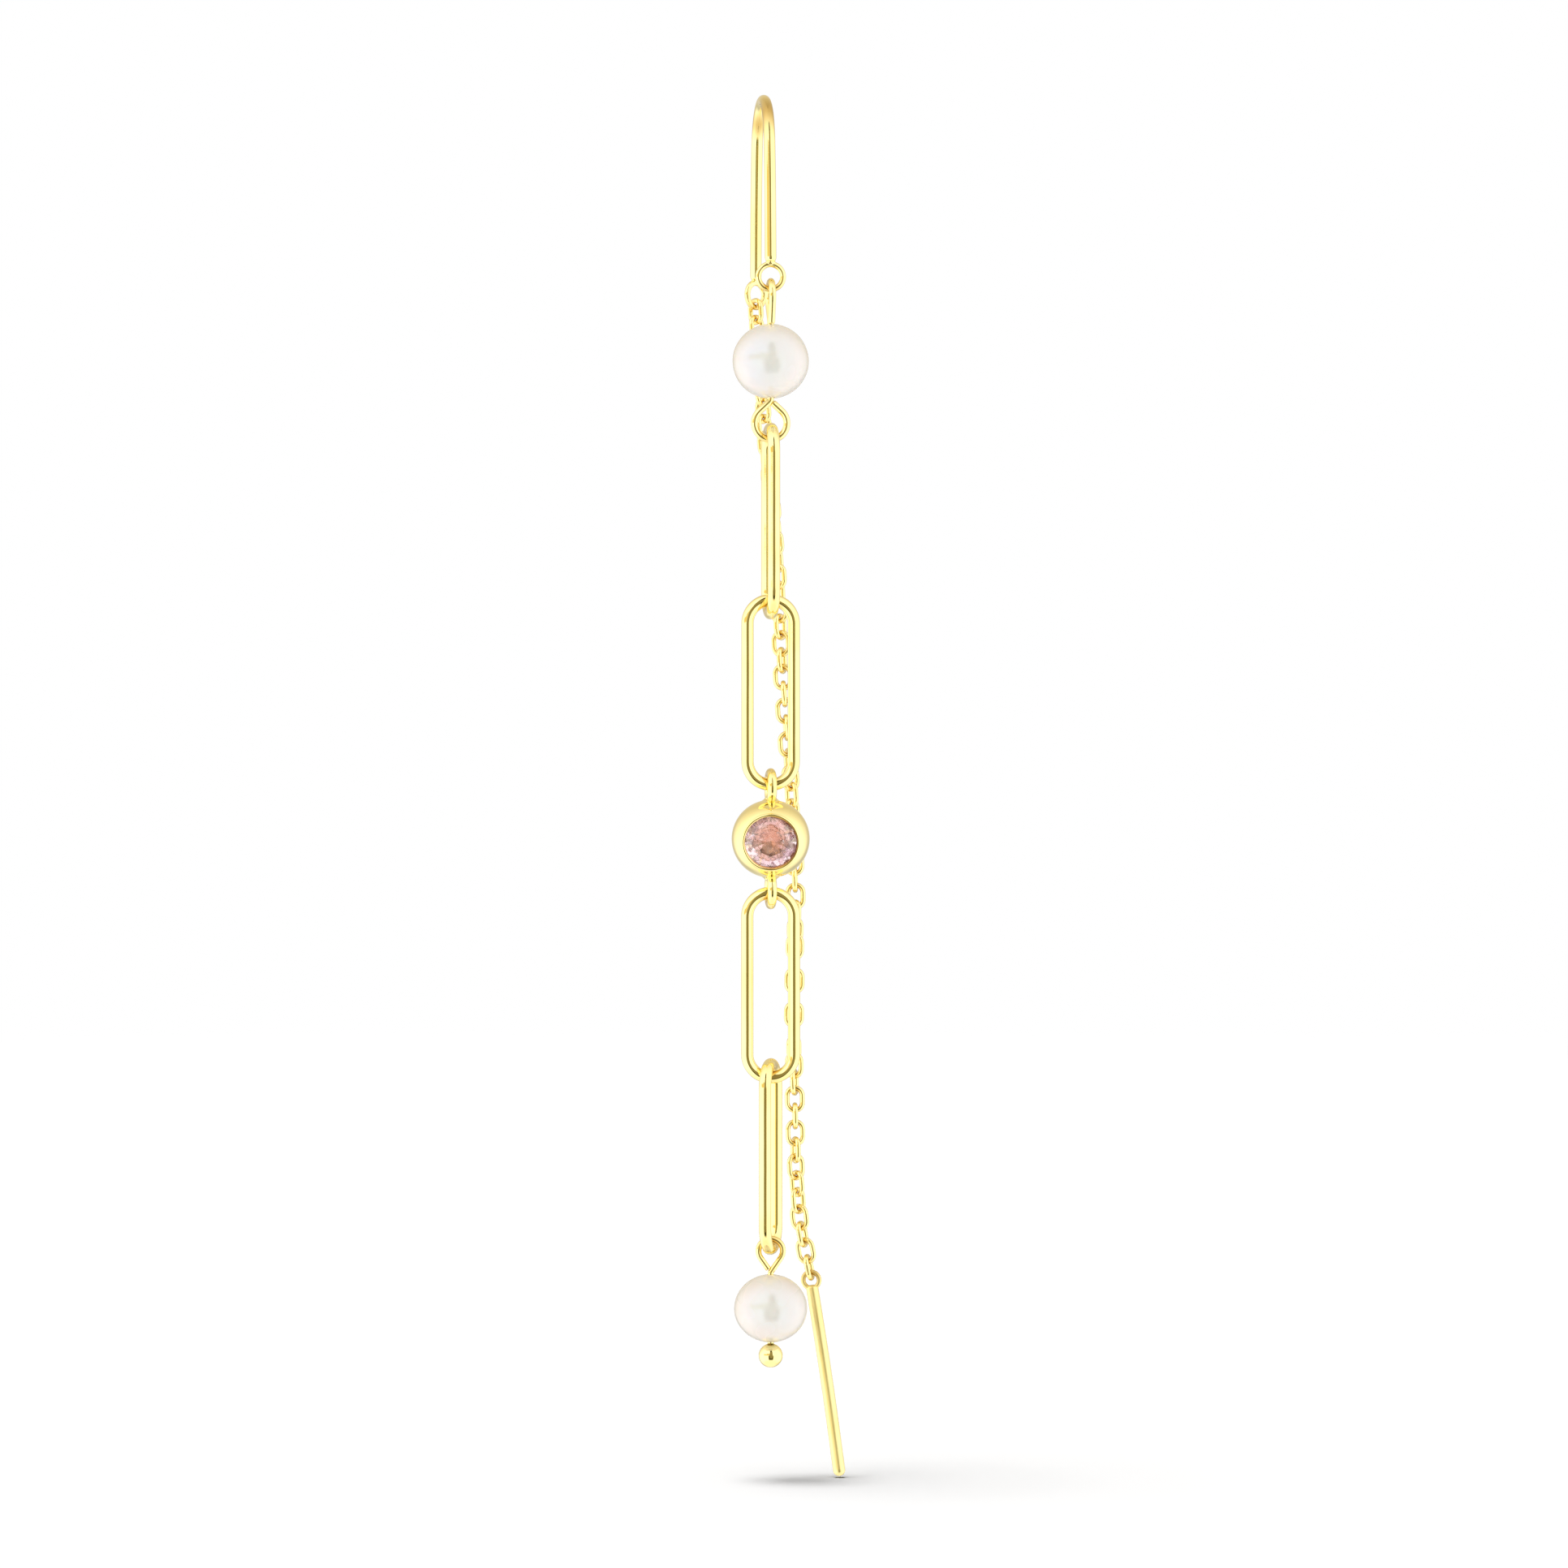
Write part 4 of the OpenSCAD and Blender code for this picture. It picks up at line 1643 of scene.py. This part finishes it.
@dataclass(frozen=True)
class Studio:
    """A white photo tent with a warm roof and darker openings, and a pale floor under the bar.

    The wall is a list of angles from the lens in degrees, more than 0 to the viewer's right, and
    the light from there.
    """

    azimuth: float = -7.2
    lens: float = 150.0
    sensor: float = 36.0
    sees: Pair = (0.01, 10.0)
    fill: float = 0.88
    floor_z: float = -74.3
    floor_radii: tuple[float, ...] = (2.0, 10.0, 30.0, 80.0, 200.0, 700.0)
    floor_columns: int = 96
    floor_crease: float = 60.0
    paper: FloorPaper = FloorPaper()
    lamp_light: float = 15.0
    lamp_width: float = 32.0
    lamp_lean: float = 10.0
    wall: tuple[Pair, ...] = (
        (-180, 0.85), (-166, 0.66), (-152, 0.6), (-136, 1.25), (-118, 1.5), (-90, 1.6),
        (-60, 1.48), (-24, 1.44), (0, 1.38), (24, 1.36), (60, 1.34), (90, 1.42),
        (112, 1.38), (132, 1.15), (149, 0.56), (166, 0.62), (180, 0.85),
    )
    roof: Colour = (0.76, 0.67, 0.5)
    roof_back: float = 45.0
    roof_span: Pair = (0.1, 1.15)
    ground: Colour = (1.2, 1.16, 1.08)
    ground_span: Pair = (-0.5, -0.9)
    gaps: tuple[TentGap, ...] = (
        TentGap(-20, 20, 13, 9, (0.82, 0.68, 0.38), 0.6),
        TentGap(-44, 26, 9, 6, (0.95, 0.76, 0.36), 0.9),
        TentGap(4, 27, -18, 26, (0.68, 0.61, 0.42)),
        TentGap(4, 21, -17, 22, (0.07, 0.065, 0.025)),
        TentGap(6, 14, 18, 42, (0.32, 0.27, 0.13)),
        TentGap(6, 11, 48, 9, (0.07, 0.06, 0.03)),
    )
    soft_light: float = 0.8
    evened: float = 0.55
    brightest: float = 2.0

    def set_camera(self) -> bpy.types.Object:
        """Sets the camera level, so that the earring fills its share of the picture's height.

        Returns:
            The camera.
        """
        look = turned_about(Axis.Z, self.azimuth)[:, 1]
        low, high = (np.array(corner) for corner in CAD_BOX)
        distance = (high[2] - low[2]) / self.fill * self.lens / self.sensor
        data = bpy.data.cameras.new("camera")
        data.lens, data.sensor_width = self.lens, self.sensor
        data.clip_start, data.clip_end = self.sees
        made = bpy.data.objects.new("camera", data)
        made.location = (low + high) / 2 - look * distance
        made.rotation_euler = (math.radians(90), 0, math.radians(self.azimuth))
        bpy.context.scene.collection.objects.link(made)
        bpy.context.scene.camera = made
        return made

    def lay_floor(self) -> bpy.types.Object:
        """Lays the pale floor: growing circles round the foot of the earring, at one height.

        Returns:
            The floor, which polished pieces don't mirror.
        """
        spokes = np.exp(1j * once_round(self.floor_columns))
        around = np.array(self.floor_radii)[::-1, None] * spokes
        sheet = skin(np.stack([around.real, around.imag, 0 * around.real], axis=-1))
        sheet.triangles = sheet.triangles[self.floor_columns :]
        floor = sheet.moved((0, 0, self.floor_z)).to_object("pale_floor", self.floor_crease)
        self.paper.dress(floor)
        floor.visible_glossy = False
        return floor

    def hang_lamp(self, floor: bpy.types.Object) -> bpy.types.Object:
        """Hangs a broad lamp, leaning to one side, which lights the floor alone for a soft shadow.

        Args:
            floor: The floor.

        Returns:
            The lamp.
        """
        data = bpy.data.lights.new("overhead_lamp", "SUN")
        data.energy = self.lamp_light
        data.angle = math.radians(self.lamp_width)
        made = bpy.data.objects.new("overhead_lamp", data)
        made.rotation_euler = (0, math.radians(-self.lamp_lean), math.radians(self.azimuth))
        made.visible_glossy = False
        lit = bpy.data.collections.new("lit_by_overhead_lamp")
        lit.objects.link(floor)
        made.light_linking.receiver_collection = lit
        bpy.context.scene.collection.objects.link(made)
        return made

    def dimmed(self, light: Colour) -> Colour:
        """Brings a light to the nodes' range, where 1 is the brightest."""
        return tuple(part / self.brightest for part in light)

    def light_world(self) -> bpy.types.World:
        """Lights the tent: a wall with openings, whose light changes all round, under a warm roof.

        The angle is atan2(direction along the camera's right, direction towards the camera). Soft
        surfaces get a weaker, more even light, and straight views see white.

        Returns:
            The world.
        """
        right, look, _ = turned_about(Axis.Z, self.azimuth).T
        world = bpy.data.worlds.new("photo_tent")
        bpy.context.scene.world = world
        world.use_nodes = True
        bench = Bench(world.node_tree)
        way = bench.add("ShaderNodeTexCoord").outputs["Generated"]
        rays = bench.add("ShaderNodeLightPath")

        def along(direction: Array) -> Socket:
            """Measures the view's direction along another."""
            inputs = {0: way, 1: tuple(direction)}
            return bench.add("ShaderNodeVectorMath", inputs, operation="DOT_PRODUCT").outputs[1]

        def light(colour: Socket | Colour, strength: float) -> Socket:
            """Adds a light of one colour."""
            inputs = {"Color": colour, "Strength": strength}
            return bench.add("ShaderNodeBackground", inputs).outputs[0]

        def choice(ray: str, others: Socket, own: Socket) -> Socket:
            """Gives one kind of ray a light of its own."""
            inputs = {0: rays.outputs[ray], 1: others, 2: own}
            return bench.add("ShaderNodeMixShader", inputs).outputs[0]

        angle = bench.calculate("ARCTAN2", along(right), along(-look))
        inputs = {"Value": angle, "From Min": -math.pi, "From Max": math.pi}
        share = bench.add("ShaderNodeMapRange", inputs).outputs["Result"]
        stops = tuple(((at + 180) / 360, self.dimmed((lit,) * 3)) for at, lit in self.wall)
        height = along(UP)
        back = math.radians(self.roof_back)
        overhead = along(math.cos(back) * UP + math.sin(back) * look)
        roof = bench.span(overhead, *self.roof_span)
        tent = bench.blend(roof, bench.ramp(share, stops), self.dimmed(self.roof))
        for gap in self.gaps:
            tent = self.cut_gap(bench, tent, gap, angle, height)
        low = bench.span(height, *self.ground_span)
        tent = bench.blend(low, tent, self.dimmed(self.ground))
        even = bench.blend(self.evened, tent, self.dimmed((1.0, 1.0, 1.0)))
        soft = light(even, self.brightest * self.soft_light)
        shown = choice("Is Diffuse Ray", light(tent, self.brightest), soft)
        shown = choice("Is Camera Ray", shown, light((1.0, 1.0, 1.0), 1.0))
        bench.add("ShaderNodeOutputWorld", {"Surface": shown})
        return world

    def cut_gap(
        self, bench: Bench, tent: Socket, gap: TentGap, angle: Socket, height: Socket
    ) -> Socket:
        """Darkens the tent inside a rounded square.

        A way is inside where ((angle - middle) / width)^4 + ((lift - middle) / height)^4 < 1.

        Args:
            bench: The world's node tree.
            tent: The tent's light so far.
            gap: The opening.
            angle: The way's angle from the lens.
            height: The sine of the way's lift.

        Returns:
            The tent's light with the opening.
        """
        lift = bench.calculate("ARCSINE", height)
        parts = []
        for way, at, half in ((angle, gap.round_at, gap.wide), (lift, gap.up_at, gap.tall)):
            off = bench.calculate("SUBTRACT", way, math.radians(at))
            off = bench.calculate("DIVIDE", off, math.radians(half))
            parts.append(bench.calculate("POWER", off, 4.0))
        off = bench.calculate("ADD", *parts)
        inside = bench.span(off, 1 - gap.soft, 1 + gap.soft, 1.0, 0.0)
        return bench.blend(inside, tent, self.dimmed(gap.colour))

    def build(self) -> None:
        """Sets up the camera, the floor and the light."""
        self.set_camera()
        self.hang_lamp(self.lay_floor())
        self.light_world()
        bpy.context.scene.view_settings.view_transform = "Standard"
        log.info("studio: camera at %.1f degrees, floor at %.1f mm", self.azimuth, self.floor_z)


def earring() -> list[Piece]:
    """Lists the earring's pieces, from the ear down.

    Returns:
        The pieces, with the stone set in the listed cup.
    """
    cup = StoneCup()
    return [
        EarWire(),
        EyePin(),
        Pearl(),
        LongLink(),
        LongLink("long_link_2", centre_z=-31.87, turn=2.0),
        cup,
        Stone(cup=cup),
        LongLink("long_link_3", centre_z=-47.63, turn=-4.0),
        LongLink("long_link_4", centre_z=-56.85, turn=69.0),
        BallPin(),
        Pearl("lower_pearl", centre_z=-65.02, width=3.94, height=3.66, hole_r=0.21, phase=1.9),
        FineChain(),
        ThreaderBar(),
    ]


def main() -> None:
    """Builds the studio and every piece."""
    logging.basicConfig(level=logging.INFO, format="%(name)s: %(message)s")
    Studio().build()
    for piece in earring():
        piece.build()


if __name__ == "__main__":
    main()
